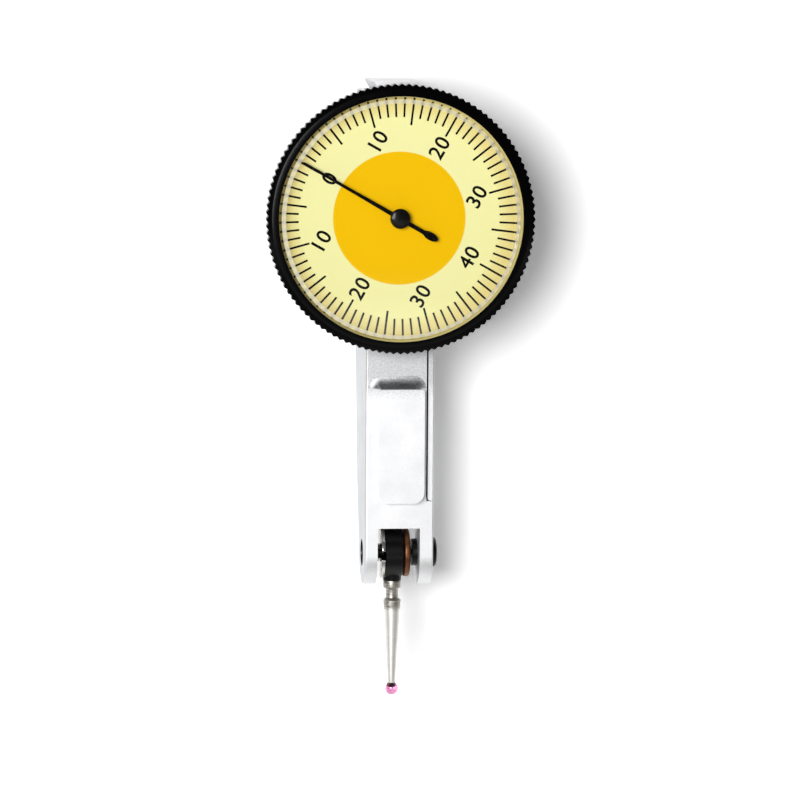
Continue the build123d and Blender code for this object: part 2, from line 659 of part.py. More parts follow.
def lever():
    """The plate lever: a round flange and boss, slotted in front, and an arm that reaches the sector."""
    plate = yz_circle(PIVOT_Y, PIVOT_Z, 2 * FLANGE_R)
    root = ARM_ROOT_H / 2
    root_end = SLOT_FLOOR_GAP + ARM_ROOT_RUN
    side = [(0, root), (root_end, ARM_H / 2), (ARM_LENGTH, ARM_TIP_R)]
    arm = make_face(Polyline(*side, *[(along, -half) for along, half in reversed(side)], close=True))
    arm += Pos(ARM_LENGTH, 0) * Circle(ARM_TIP_R)
    arm -= Pos(ARM_LENGTH, 0) * Circle(DRIVE_PIN_D / 2)
    plate += Plane.YZ * Pos(PIVOT_Y, PIVOT_Z) * Rot(0, 0, ARM_ANGLE) * arm
    plate = span_x(plate, FLANGE_X, HUB_X) + rod_x(PIVOT_Y, PIVOT_Z, BOSS_X, FLANGE_X, LEVER_BOSS_D)
    plate -= rod_x(PIVOT_Y, PIVOT_Z, BOSS_X, HUB_X, AXLE_SPIGOT_D)
    half = FLANGE_SLOT_W / 2
    return plate - box_between((BOSS_X, PIVOT_Y - half, PIVOT_Z), (HUB_X, PIVOT_Y + half, FRONT_Z))


def lever_axle():
    """The lever's axle, with a hollow cone at each end for the pivot points."""
    shoulder = rod_x(PIVOT_Y, PIVOT_Z, HUB_X, WASHER_X, AXLE_D)
    spigot = rod_x(PIVOT_Y, PIVOT_Z, BOSS_X, HUB_X, AXLE_SPIGOT_D)
    thread = rod_x(PIVOT_Y, PIVOT_Z, WASHER_X, AXLE_END_X, AXLE_END_D)
    depth = PIVOT_CONE_DEPTH + END_PLAY
    left_d = PIVOT_POINT_D + 2 * END_PLAY
    right_d = RIGHT_POINT_D + 2 * END_PLAY
    left_cup = cone_x(PIVOT_Y, PIVOT_Z, BOSS_X, BOSS_X + depth, left_d, CUP_END_D)
    right_cup = cone_x(PIVOT_Y, PIVOT_Z, AXLE_END_X - depth, AXLE_END_X, CUP_END_D, right_d)
    return shoulder + spigot + thread - left_cup - right_cup


def drive_pin():
    """The pin at the arm's end that drives the sector's forked tail."""
    return rod_x(PIN_Y, PIN_Z, FLANGE_X, SECTOR_X + SECTOR_T, DRIVE_PIN_D)


def friction_washer():
    """The sprung copper washer that holds the stylus where it is set."""
    disc = rod_x(PIVOT_Y, PIVOT_Z, WASHER_X, NUT_X, 2 * WASHER_R)
    disc = chamfer(disc.edges().filter_by(GeomType.CIRCLE), WASHER_EDGE)
    return disc - rod_x(PIVOT_Y, PIVOT_Z, WASHER_X, NUT_X, AXLE_END_D + 2 * SEAT)


def clamp_nut():
    """The round nut that presses the friction washer, with two flats."""
    nut = rod_x(PIVOT_Y, PIVOT_Z, NUT_X, AXLE_END_X, NUT_D)
    half = NUT_FLATS / 2
    flats = box_between((NUT_X, PIVOT_Y - NUT_D, PIVOT_Z - half), (AXLE_END_X, PIVOT_Y + NUT_D, PIVOT_Z + half))
    return (nut & flats) - rod_x(PIVOT_Y, PIVOT_Z, NUT_X, AXLE_END_X, AXLE_END_D + 2 * SEAT)


def stylus_hub():
    """The drum that turns stiffly on the lever's axle, with the short collar that takes the stylus."""
    drum = rod_x(PIVOT_Y, PIVOT_Z, HUB_X + RUN, HUB_X + RUN + HUB_W, 2 * HUB_R)
    drum = chamfer(drum.edges().filter_by(GeomType.CIRCLE), HUB_EDGE)
    collar_end_y = PIVOT_Y - HUB_COLLAR_REACH
    drum += along_y(collar_end_y, PIVOT_Y, HUB_COLLAR_D, HUB_COLLAR_D)
    drum -= rod_x(PIVOT_Y, PIVOT_Z, HUB_X, WASHER_X, AXLE_D + 2 * RUN)
    hole_end_y = collar_end_y + STYLUS_SCREW_LENGTH + END_PLAY
    hole_d = STYLUS_SCREW_D + 2 * SEAT
    return drum - along_y(collar_end_y, hole_end_y, hole_d, hole_d)


def along_y(low, high, low_diameter, high_diameter):
    """A round or tapered bar on the stylus's own axis."""
    outline = [(0, low), (low_diameter / 2, low), (high_diameter / 2, high), (0, high)]
    return Pos(STYLUS_X, 0, PIVOT_Z) * revolve(make_face(Polyline(*outline, close=True)), Axis.Y)


def stylus_shank():
    """The turned steel stylus: screw, collar, neck, shoulder and the long taper to the ball."""
    collar_top = -HUB_COLLAR_REACH
    seat_y = -STYLUS_LENGTH + BALL_SEAT
    outline = [
        (0, collar_top + STYLUS_SCREW_LENGTH),
        (STYLUS_SCREW_D / 2, collar_top + STYLUS_SCREW_LENGTH),
        (STYLUS_SCREW_D / 2, collar_top),
        (COLLAR_D / 2, collar_top),
        (COLLAR_D / 2, -COLLAR_REACH),
        (NECK_D / 2, -COLLAR_REACH - NECK_CHAMFER_H),
        (NECK_D / 2, -NECK_REACH),
        (SHOULDER_D / 2, -SHOULDER_REACH),
        (STYLUS_TIP_D / 2, seat_y),
        (0, seat_y),
    ]
    face = make_face(Polyline(*outline, close=True))
    shank = Pos(STYLUS_X, PIVOT_Y, PIVOT_Z) * revolve(face, Axis.Y)
    return shank - ball_at(BALL_D / 2 + SEAT)


def ball_at(radius):
    """The contact ball's place, as a sphere of the given radius."""
    return Pos(STYLUS_X, PIVOT_Y - STYLUS_LENGTH, PIVOT_Z) * Sphere(radius)


def ruby_ball():
    """The contact ball."""
    return ball_at(BALL_D / 2)


def dial_case():
    """The round pan that is screwed to the body and carries the bezel."""
    wall_r = CASE_WALL_R
    groove_low = CASE_FLOOR_Z + SPRING_RISE
    groove_high = groove_low + SPRING_WIRE_D + 2 * RUN
    groove_r = CASE_WALL_R - SPRING_WIRE_D
    pan = revolved(
        [
            (0, CASE_Z),
            (CASE_R, CASE_Z),
            (CASE_R, CASE_FLOOR_Z),
            (wall_r, CASE_FLOOR_Z),
            (wall_r, groove_low),
            (groove_r, groove_low),
            (groove_r, groove_high),
            (wall_r, groove_high),
            (wall_r, CASE_TOP_Z),
            (wall_r - CASE_WALL_T, CASE_TOP_Z),
            (wall_r - CASE_WALL_T, CASE_FLOOR_Z),
            (0, CASE_FLOOR_Z),
        ]
    )
    pan -= rod_z(0, 0, CASE_Z, CASE_FLOOR_Z, ARBOR_D + 4 * RUN)
    pan -= rod_z(0, 0, JEWEL_UPPER_Z, CASE_FLOOR_Z, CENTRE_JEWEL_D + 2 * SEAT)
    pan -= rod_z(0, STUD_R, CASE_FLOOR_Z - STUD_SPIGOT_L, CASE_FLOOR_Z, STUD_SPIGOT_D + 2 * SEAT)
    sink = (CASE_SCREW_HEAD_D - CASE_SCREW_D) / 2
    for x, y in case_screw_places():
        pan -= rod_z(x, y, CASE_Z, CASE_FLOOR_Z, CASE_SCREW_D + 2 * SEAT)
        pan -= cone_z(
            x, y, CASE_FLOOR_Z - sink, CASE_FLOOR_Z, CASE_SCREW_D + 2 * SEAT, CASE_SCREW_HEAD_D + 2 * SEAT
        )
    return pan


def case_screws():
    """Slotted flat screws that hold the case on the body's front."""
    sink = (CASE_SCREW_HEAD_D - CASE_SCREW_D) / 2
    screws = []
    for x, y in case_screw_places():
        screw = rod_z(x, y, CASE_FLOOR_Z - CASE_SCREW_LENGTH, CASE_FLOOR_Z - sink, CASE_SCREW_D)
        screw += cone_z(x, y, CASE_FLOOR_Z - sink, CASE_FLOOR_Z, CASE_SCREW_D, CASE_SCREW_HEAD_D)
        half = SMALL_SLOT_W / 2
        slot_z = CASE_FLOOR_Z - sink / 2
        reach = CASE_SCREW_HEAD_D
        screws.append(screw - box_between((x - reach, y - half, slot_z), (x + reach, y + half, CASE_FLOOR_Z)))
    return Compound(screws)


def bezel_friction_spring():
    """An open ring of wire in the case's groove that keeps the bezel where it is turned."""
    ring_r = CASE_WALL_R - SPRING_WIRE_D / 2 + RUN
    middle_z = CASE_FLOOR_Z + SPRING_RISE + SPRING_WIRE_D / 2 + RUN
    wire = Pos(ring_r, 0, middle_z) * (Plane.XZ * Circle(SPRING_WIRE_D / 2))
    return revolve(wire, Axis.Z, 360 - SPRING_GAP_ANGLE)


def knurl_star(bottom, top):
    """A prism with the knurl's V-shaped teeth all round."""
    root_r = BEZEL_R - KNURL_DEPTH
    points = []
    for half_tooth in range(2 * KNURL_TEETH):
        turn = pi * half_tooth / KNURL_TEETH
        r = root_r if half_tooth % 2 else BEZEL_R
        points.append((r * cos(turn), r * sin(turn)))
    face = make_face(Polyline(*points, close=True))
    return extrude(Pos(0, 0, bottom) * face, amount=top - bottom)


def bezel():
    """The knurled ring that turns the dial, with a lip over the crystal."""
    land_r = BEZEL_R - BEZEL_LAND_IN
    ring = revolved(
        [
            (BEZEL_BORE_R, BEZEL_Z),
            (land_r, BEZEL_Z),
            (land_r, BEZEL_Z + BEZEL_LAND_H),
            (BEZEL_R, BEZEL_Z + BEZEL_LAND_H + BEZEL_CHAMFER_H),
            (BEZEL_R, BEZEL_TOP_Z - BEZEL_CHAMFER_H),
            (BEZEL_FRONT_R, BEZEL_TOP_Z),
            (BEZEL_WINDOW_R, BEZEL_TOP_Z),
            (BEZEL_WINDOW_R, BEZEL_TOP_Z - BEZEL_LIP_T),
            (BEZEL_BORE_R, BEZEL_TOP_Z - BEZEL_LIP_T),
        ]
    )
    return ring & knurl_star(BEZEL_Z, BEZEL_TOP_Z)


def dial_retaining_ring():
    """The ring in the bezel's bore that carries the dial and runs on the case."""
    return ring_z(CASE_WALL_R + RETAINER_GAP, BEZEL_BORE_R - SEAT, RETAINER_Z, DIAL_Z)


def dial_face():
    """The dial, a thin disc that turns with the bezel."""
    return ring_z(DIAL_HOLE_D / 2, BEZEL_BORE_R - SEAT, DIAL_Z, DIAL_TOP_Z)


def dial_spacer_ring():
    """The ring that keeps the dial and the crystal apart."""
    return ring_z(BEZEL_BORE_R - SPACER_T, BEZEL_BORE_R - SEAT, DIAL_TOP_Z, CRYSTAL_Z)


def crystal():
    """The clear domed window: flange, narrow ledge, bevelled edge and shallow dome."""
    flange_r = BEZEL_BORE_R - SEAT
    window_r = BEZEL_WINDOW_R - SEAT
    inner_r = BEZEL_BORE_R - SPACER_T - CRYSTAL_RIM_W
    shoulder_z = CRYSTAL_Z + CRYSTAL_FLANGE_T
    bevel_z = shoulder_z + CRYSTAL_RISE
    bevel_top_z = bevel_z + CRYSTAL_BEVEL_H
    top_z = bevel_top_z + CRYSTAL_DOME_H
    ledge_r = window_r - CRYSTAL_LEDGE_W
    dome_r = ledge_r - CRYSTAL_BEVEL_W
    outline = [
        Line((inner_r, CRYSTAL_Z), (flange_r, CRYSTAL_Z)),
        Line((flange_r, CRYSTAL_Z), (flange_r, shoulder_z)),
        Line((flange_r, shoulder_z), (window_r, shoulder_z)),
        Line((window_r, shoulder_z), (window_r, bevel_z)),
        Line((window_r, bevel_z), (ledge_r, bevel_z)),
        Line((ledge_r, bevel_z), (dome_r, bevel_top_z)),
        dome_arc(dome_r, bevel_top_z, top_z),
        Line((0, top_z), (0, top_z - CRYSTAL_T)),
        dome_arc(inner_r, CRYSTAL_Z, top_z - CRYSTAL_T),
    ]
    return revolve(Plane.XZ * make_face(outline), Axis.Z)


def dome_arc(edge_r, edge_z, top_z):
    """Half the outline of a shallow dome that is level at its top."""
    height = top_z - edge_z
    sphere_r = (edge_r**2 + height**2) / (2 * height)
    middle_z = top_z - sphere_r + (sphere_r**2 - edge_r**2 / 4) ** 0.5
    return ThreePointArc((edge_r, edge_z), (edge_r / 2, middle_z), (0, top_z))


def crystal_gasket():
    """The soft ring between the crystal's flange and the bezel's lip."""
    return ring_z(BEZEL_BORE_R - GASKET_W, BEZEL_BORE_R - SEAT, GASKET_Z, BEZEL_TOP_Z - BEZEL_LIP_T)


def pointer():
    """The pointer: a boss, a long thin blade and a tail with an oval counterweight."""
    blade = Pos(POINTER_R / 2, 0) * Rectangle(POINTER_R, POINTER_W)
    tail = Pos(-POINTER_TAIL_R / 2, 0) * Rectangle(POINTER_TAIL_R - POINTER_WEIGHT_L / 2, POINTER_TAIL_W)
    weight = Pos(POINTER_WEIGHT_L / 2 - POINTER_TAIL_R, 0) * Ellipse(POINTER_WEIGHT_L / 2, POINTER_WEIGHT_W / 2)
    shape = blade + tail + weight + Circle(POINTER_BOSS_R) - Circle(ARBOR_D / 2 + SEAT)
    return Pos(0, 0, POINTER_Z) * Rot(0, 0, POINTER_ANGLE) * extrude(shape, amount=POINTER_T)


def pointer_hub():
    """The domed cap that presses the pointer on the centre arbor."""
    top = ARBOR_TOP_Z + POINTER_HUB_DOME
    boss = rod_z(0, 0, POINTER_Z + POINTER_T, top, POINTER_HUB_D)
    boss = fillet(boss.edges().sort_by(Axis.Z)[-1], POINTER_HUB_DOME)
    return boss - rod_z(0, 0, POINTER_Z, ARBOR_TOP_Z, ARBOR_D + 2 * SEAT)


def centre_arbor():
    """The arbor on the dial's axis, cut in one with its pinion."""
    low = COCK_TOP_Z - JEWEL_T + RUN
    shaft = rod_z(0, 0, COCK_TOP_Z + END_PLAY, ARBOR_TOP_Z, ARBOR_D)
    shaft += rod_z(0, 0, low, COCK_TOP_Z + END_PLAY, ARBOR_PIVOT_D)
    gap_angle = 180.0 + 180.0 / PINION_TEETH
    leaves = make_face(Polyline(*tooth_points(PINION_TEETH, PINION_R, gap_angle), close=True))
    return shaft + extrude(Pos(0, 0, CENTRE_PINION_Z) * leaves, amount=CENTRE_PINION_L)


def centre_jewel(bottom, top, hole):
    """A pierced jewel on the dial's axis."""
    return rod_z(0, 0, bottom, top, CENTRE_JEWEL_D) - rod_z(0, 0, bottom, top, hole)


def centre_jewels():
    """The lower jewel in the cock and the upper one in the case."""
    lower = centre_jewel(COCK_TOP_Z - JEWEL_T, COCK_TOP_Z, ARBOR_PIVOT_D + 2 * RUN)
    upper = centre_jewel(JEWEL_UPPER_Z, JEWEL_UPPER_Z + JEWEL_T, ARBOR_D + 2 * RUN)
    return Compound([lower, upper])


def hairspring():
    """The flat spiral spring that takes up the play of the train."""
    turns = HAIRSPRING_TURNS
    steps = HAIRSPRING_STEPS * turns
    centres = []
    for step in range(steps + 1):
        turn = 2 * pi * turns * step / steps
        centres.append((HAIRSPRING_INNER_R + HAIRSPRING_PITCH * turn / (2 * pi), turn + pi / 2))
    inner = [((r - HAIRSPRING_T / 2) * cos(a), (r - HAIRSPRING_T / 2) * sin(a)) for r, a in centres]
    outer = [((r + HAIRSPRING_T / 2) * cos(a), (r + HAIRSPRING_T / 2) * sin(a)) for r, a in centres]
    face = make_face(Polyline(*inner, *reversed(outer), close=True))
    return extrude(Pos(0, 0, HAIRSPRING_Z) * face, amount=HAIRSPRING_H)


def hairspring_collet():
    """The collet on the arbor, beside the spring's inner end."""
    bottom = HAIRSPRING_Z - (COLLET_H - HAIRSPRING_H) / 2
    return rod_z(0, 0, bottom, bottom + COLLET_H, 2 * COLLET_R) - rod_z(
        0, 0, bottom, bottom + COLLET_H, ARBOR_D + 2 * SEAT
    )


def hairspring_stud():
    """The stud in the case that holds the spring's outer end."""
    stud = rod_z(0, STUD_R, CASE_FLOOR_Z, HAIRSPRING_Z + HAIRSPRING_H, STUD_D)
    spigot = rod_z(0, STUD_R, CASE_FLOOR_Z - STUD_SPIGOT_L, CASE_FLOOR_Z, STUD_SPIGOT_D)
    return stud + spigot


def crown_wheel():
    """The contrate wheel, whose teeth stand up from its rim towards the centre pinion."""
    outer_r = CROWN_OUTER_R
    inner_r = CROWN_OUTER_R - CROWN_RIM_W
    web = yz_circle(0, TRAIN_Z, 2 * outer_r) - yz_circle(0, TRAIN_Z, ARBOR_D + 2 * SEAT)
    room = yz_circle(0, TRAIN_Z, 2 * inner_r) - yz_circle(0, TRAIN_Z, CROWN_HUB_D)
    spokes = Pos(0, TRAIN_Z) * Rectangle(2 * outer_r, CROWN_SPOKE_W)
    spokes += Pos(0, TRAIN_Z) * Rectangle(CROWN_SPOKE_W, 2 * outer_r)
    web -= room - Plane.YZ * spokes
    rim = yz_circle(0, TRAIN_Z, 2 * outer_r) - yz_circle(0, TRAIN_Z, 2 * inner_r)
    wheel = span_x(web, CROWN_WEB_X, CROWN_RIM_X) + span_x(rim, CROWN_RIM_X, CROWN_ROOT_X)
    return wheel + crown_teeth(inner_r, outer_r)


def crown_teeth(inner_r, outer_r):
    """The standing teeth, one wedge after another round the rim, narrower at the tip."""
    half = pi / CROWN_TEETH * TOOTH_SHARE
    teeth = []
    for tooth in range(CROWN_TEETH):
        turn = Pos(0, 0, TRAIN_Z) * Rot(360.0 * tooth / CROWN_TEETH, 0, 0)
        foot = Plane.YZ * make_face(Polyline(*wedge(inner_r, outer_r, half * ROOT_SHARE), close=True))
        tip = Plane.YZ * make_face(Polyline(*wedge(inner_r, outer_r, half * CROWN_TIP_SHARE), close=True))
        block = loft([Pos(CROWN_ROOT_X, 0, 0) * foot, Pos(CROWN_TIP_X, 0, 0) * tip])
        teeth.append(turn * block)
    return teeth


def wedge(inner_r, outer_r, half):
    """Four corners of a radial wedge that points along +Z, as (y, z)."""
    corners = [(inner_r, -half), (outer_r, -half), (outer_r, half), (inner_r, half)]
    return [(r * sin(a), r * cos(a)) for r, a in corners]


def crown_arbor():
    """The crown wheel's arbor, with the pinion that the sector drives."""
    start = POCKET_FLOOR_X - JEWEL_T
    shaft = arbor_x(0, TRAIN_Z, start, BRIDGE_X + JEWEL_T)
    gap_angle = 180.0 + 180.0 / PINION_TEETH
    return shaft + pinion_x(0, TRAIN_Z, CROWN_PINION_X, CROWN_PINION_X + CROWN_PINION_L, gap_angle)


def sector_gear():
    """The sector: a toothed arc, a hub and a tail forked round the drive pin."""
    step = 360.0 / SECTOR_FULL_TEETH
    first = -step * (SECTOR_CUT_TEETH - 1) / 2
    teeth = tooth_points(SECTOR_FULL_TEETH, SECTOR_R, first, SECTOR_CUT_TEETH)
    root = (SECTOR_HUB_D / 4, SECTOR_HUB_D / 2)
    arc = make_face(Polyline(*teeth, root, (root[0], -root[1]), close=True))
    arc += Circle(SECTOR_HUB_D / 2)
    tail_end = TAIL_LENGTH + FORK_DEPTH / 2
    tail_turn = degrees(atan2(PIN_Z - TRAIN_Z, PIN_Y - SECTOR_Y))
    fork_w = DRIVE_PIN_D + 2 * RUN + 2 * FORK_CHEEK
    tail = Pos(tail_end / 2, 0) * Rectangle(tail_end, fork_w)
    tail -= Pos(tail_end - FORK_DEPTH / 2, 0) * Rectangle(FORK_DEPTH, DRIVE_PIN_D + 2 * RUN)
    arc += Rot(0, 0, tail_turn) * tail
    arc -= Circle(ARBOR_D / 2 + SEAT)
    return span_x(Plane.YZ * Pos(SECTOR_Y, TRAIN_Z) * arc, SECTOR_X, SECTOR_X + SECTOR_T)


def sector_arbor():
    """The sector's plain arbor."""
    return arbor_x(SECTOR_Y, TRAIN_Z, SECTOR_FLOOR_X - JEWEL_T, BRIDGE_X + JEWEL_T)


def arbor_jewels():
    """Four pierced jewels, two in the body and two in the bridge."""
    places = [
        (0, POCKET_FLOOR_X - JEWEL_T),
        (0, BRIDGE_X + END_PLAY),
        (SECTOR_Y, SECTOR_FLOOR_X - JEWEL_T),
        (SECTOR_Y, BRIDGE_X + END_PLAY),
    ]
    return Compound([jewel_x(y, TRAIN_Z, start) for y, start in places])


def movement_bridge():
    """The plate on pillars that carries the right ends of both arbors."""
    below_sector = (SECTOR_Y, TRAIN_Z - BRIDGE_RIM)
    above_crown = (0, TRAIN_Z + BRIDGE_RIM)
    face = yz_polygon([LOW_PILLAR, below_sector, TAIL_PILLAR, above_crown, TOP_PILLAR])
    for y, z in PILLARS + [(0, TRAIN_Z), (SECTOR_Y, TRAIN_Z)]:
        face += yz_circle(y, z, 2 * BRIDGE_RIM)
    plate = span_x(face, BRIDGE_X, BRIDGE_X + BRIDGE_T)
    for y in (0, SECTOR_Y):
        plate -= rod_x(y, TRAIN_Z, BRIDGE_X, BRIDGE_X + BRIDGE_T, JEWEL_D + 2 * SEAT)
    for y, z in PILLARS:
        plate -= rod_x(y, z, BRIDGE_X, BRIDGE_X + BRIDGE_T, BRIDGE_SCREW_D + 2 * SEAT)
    return plate


def pillar_floor(y):
    """Where a pillar stands: the sector's pocket is shallower than the wheel's."""
    return SECTOR_FLOOR_X if y < SECTOR_Y else POCKET_FLOOR_X


def bridge_pillars():
    """Three pillars between the body and the bridge."""
    pillars = []
    for y, z in PILLARS:
        pillar = rod_x(y, z, pillar_floor(y), BRIDGE_X, PILLAR_D)
        hole_start = BRIDGE_X + BRIDGE_T - BRIDGE_SCREW_LENGTH - SEAT
        pillars.append(pillar - rod_x(y, z, hole_start, BRIDGE_X, BRIDGE_SCREW_D + 2 * SEAT))
    return Compound(pillars)


def bridge_screws():
    """Cheese-head screws that hold the bridge on its pillars."""
    top = BRIDGE_X + BRIDGE_T
    head_w = BRIDGE_SCREW_HEAD_D
    slot_x = top + BRIDGE_SCREW_HEAD_T / 2
    half = SMALL_SLOT_W / 2
    screws = []
    for y, z in PILLARS:
        screw = rod_x(y, z, top - BRIDGE_SCREW_LENGTH, top, BRIDGE_SCREW_D)
        screw += rod_x(y, z, top, top + BRIDGE_SCREW_HEAD_T, head_w)
        screws.append(screw - box_between((slot_x, y - head_w, z - half), (top + OVER, y + head_w, z + half)))
    return Compound(screws)


def centre_cock():
    """The bracket under the front wall that carries the lower end of the centre arbor."""
    left = COCK_X - COCK_W / 2
    finger_low = COCK_TOP_Z - COCK_T
    finger = box_between((left, 0, finger_low), (left + COCK_W, COCK_LEG_Y + COCK_T, COCK_TOP_Z))
    finger += rod_z(0, 0, finger_low, COCK_TOP_Z, CENTRE_JEWEL_D + 2 * COCK_JEWEL_RIM)
    leg = box_between((left, COCK_LEG_Y, finger_low), (left + COCK_W, COCK_LEG_Y + COCK_T, POCKET_FRONT_Z))
    foot = box_between(
        (left, COCK_LEG_Y, POCKET_FRONT_Z - COCK_T), (left + COCK_W, COCK_LEG_Y + COCK_FOOT_L, POCKET_FRONT_Z)
    )
    bracket = finger + leg + foot
    bracket -= rod_z(0, 0, COCK_TOP_Z - JEWEL_T, COCK_TOP_Z, CENTRE_JEWEL_D + 2 * SEAT)
    bracket -= rod_z(*cock_screw_place(), POCKET_FRONT_Z - COCK_T, POCKET_FRONT_Z, BRIDGE_SCREW_D + 2 * SEAT)
    return bracket


def cock_screw():
    """The screw that holds the centre cock from inside."""
    x, y = cock_screw_place()
    bottom = POCKET_FRONT_Z - COCK_T
    head = rod_z(x, y, bottom - BRIDGE_SCREW_HEAD_T, bottom, BRIDGE_SCREW_HEAD_D)
    half = SMALL_SLOT_W / 2
    slot = box_between(
        (x - BRIDGE_SCREW_HEAD_D, y - half, bottom - BRIDGE_SCREW_HEAD_T),
        (x + BRIDGE_SCREW_HEAD_D, y + half, bottom - BRIDGE_SCREW_HEAD_T / 2),
    )
    end = FRONT_Z - COCK_SCREW_COVER - END_PLAY
    return head + rod_z(x, y, bottom, end, BRIDGE_SCREW_D) - slot


def limit_pins():
    """Two pins that stop the lever's arm at the ends of its travel."""
    start = BODY_LEFT_X + STOP_PIN_END + SEAT
    end = COVER_IN_X - STOP_PIN_END
    return Compound([rod_x(y, z, start, end, STOP_PIN_D) for y, z in stop_places()])


NODES = {
    "body": body,
    "side_cover": side_cover,
    "cover_screws": cover_screws,
    "left_pivot_screw": left_pivot_screw,
    "right_pivot_bush": right_pivot_bush,
    "right_pivot_screw": right_pivot_screw,
    "lever": lever,
    "lever_axle": lever_axle,
    "drive_pin": drive_pin,
    "friction_washer": friction_washer,
    "clamp_nut": clamp_nut,
    "limit_pins": limit_pins,
    "stylus_hub": stylus_hub,
    "stylus_shank": stylus_shank,
    "ruby_ball": ruby_ball,
    "dial_case": dial_case,
    "case_screws": case_screws,
    "bezel_friction_spring": bezel_friction_spring,
    "bezel": bezel,
    "dial_retaining_ring": dial_retaining_ring,
    "dial_face": dial_face,
    "dial_spacer_ring": dial_spacer_ring,
    "crystal": crystal,
    "crystal_gasket": crystal_gasket,
    "pointer": pointer,
    "pointer_hub": pointer_hub,
    "centre_arbor": centre_arbor,
    "centre_jewels": centre_jewels,
    "hairspring": hairspring,
    "hairspring_collet": hairspring_collet,
    "hairspring_stud": hairspring_stud,
    "crown_wheel": crown_wheel,
    "crown_arbor": crown_arbor,
    "sector_gear": sector_gear,
    "sector_arbor": sector_arbor,
    "arbor_jewels": arbor_jewels,
    "movement_bridge": movement_bridge,
    "bridge_pillars": bridge_pillars,
    "bridge_screws": bridge_screws,
    "centre_cock": centre_cock,
    "cock_screw": cock_screw,
}


def main():
    os.makedirs("parts", exist_ok=True)
    for name, make in NODES.items():
        export_step(make(), f"parts/{name}.step")


main()
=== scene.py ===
import json
from math import cos, pi, radians, sin, sqrt

import bmesh
import bpy
from bpy.props import FloatProperty, FloatVectorProperty, IntProperty, PointerProperty
from mathutils import Matrix, Vector


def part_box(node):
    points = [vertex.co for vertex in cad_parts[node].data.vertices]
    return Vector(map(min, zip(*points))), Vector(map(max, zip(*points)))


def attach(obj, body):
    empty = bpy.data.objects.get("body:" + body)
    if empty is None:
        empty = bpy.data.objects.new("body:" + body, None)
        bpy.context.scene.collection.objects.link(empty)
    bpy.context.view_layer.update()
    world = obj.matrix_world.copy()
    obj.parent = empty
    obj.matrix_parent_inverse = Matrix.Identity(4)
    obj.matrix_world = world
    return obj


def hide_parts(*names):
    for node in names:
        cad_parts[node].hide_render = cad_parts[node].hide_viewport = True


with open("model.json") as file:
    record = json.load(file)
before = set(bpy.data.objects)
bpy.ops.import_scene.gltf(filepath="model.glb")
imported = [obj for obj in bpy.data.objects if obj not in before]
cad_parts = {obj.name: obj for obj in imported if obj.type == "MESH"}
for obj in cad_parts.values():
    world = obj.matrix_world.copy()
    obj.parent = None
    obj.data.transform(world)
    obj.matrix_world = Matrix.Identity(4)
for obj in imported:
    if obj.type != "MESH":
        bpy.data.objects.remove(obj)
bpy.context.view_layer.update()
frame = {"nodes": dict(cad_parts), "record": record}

bl_info = {
    "name": "Dial test indicator",
    "version": (1, 0, 0),
    "blender": (4, 5, 0),
    "location": "3D View > Sidebar > Indicator",
    "description": "Dresses a lever dial test indicator: dial print, bezel, crystal, metals and stage",
    "category": "Object",
}

MM = 0.001
PER_MM = 1000  # a noise scale that gives one cell a millimetre
IMAGE = (801, 800)
SENSOR = 36  # mm
DIAL_PIXEL = (400.6, 219.0)  # where the dial's middle shows
INK_LIFT = 0.002 * MM  # print stands this far off the enamel
INK_HEIGHT = 0.012 * MM
FIGURE_SHARE = 0.73  # a figure's height, of its typeface's size
GLOSS_SPREAD = 0.15  # the share by which grain moves a finish's roughness

# Places read from the frame, in metres

DIAL_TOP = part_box("dial_face")[1].z
DIAL_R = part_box("dial_face")[1].x
BEZEL_LOW, BEZEL_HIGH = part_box("bezel")
BEZEL_R = BEZEL_HIGH.x
BEZEL_FACE_Z = BEZEL_HIGH.z
BORE_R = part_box("dial_retaining_ring")[1].x
CRYSTAL_LOW, CRYSTAL_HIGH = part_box("crystal")
BALL_LOW, BALL_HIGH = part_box("ruby_ball")
BALL = (BALL_LOW + BALL_HIGH) / 2
BALL_R = (BALL_HIGH.x - BALL_LOW.x) / 2
COVER_LOW, COVER_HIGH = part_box("side_cover")
FLANK_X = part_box("body")[0].x
LEFT_SCREW_LOW, LEFT_SCREW_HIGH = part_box("left_pivot_screw")
POINTER_LOW, POINTER_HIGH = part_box("pointer")
HUB_LOW, HUB_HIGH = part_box("pointer_hub")
SHANK_END_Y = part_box("stylus_shank")[1].y


# Colours and nodes


def linear(code):
    """An sRGB hex colour as linear RGBA."""
    out = []
    for at in (1, 3, 5):
        c = int(code[at : at + 2], 16) / 255
        out.append(c / 12.92 if c <= 0.04045 else ((c + 0.055) / 1.055) ** 2.4)
    return (*out, 1.0)


def add(tree, kind, inputs=None, stops=(), **settings):
    """Add a node. Inputs are values, or (node, output) pairs to link; settings are the node's own; stops
    are a colour ramp's (place, colour) pairs."""
    node = tree.nodes.new(kind)
    for key, value in settings.items():
        setattr(node, key, value)
    for key, value in (inputs or {}).items():
        socket = node.inputs[key]
        if isinstance(value, tuple) and isinstance(value[0], bpy.types.Node):
            tree.links.new(value[0].outputs[value[1]], socket)
        else:
            socket.default_value = value
    for at, (place, colour) in enumerate(stops):
        elements = node.color_ramp.elements
        element = elements[at] if at < len(elements) else elements.new(place)
        element.position = place
        element.color = colour
    return node


def new_material(name):
    """An empty node material and its tree."""
    material = bpy.data.materials.new(name)
    material.use_nodes = True
    material.node_tree.nodes.clear()
    return material, material.node_tree


def grey(value):
    """A linear grey."""
    return (value, value, value, 1.0)


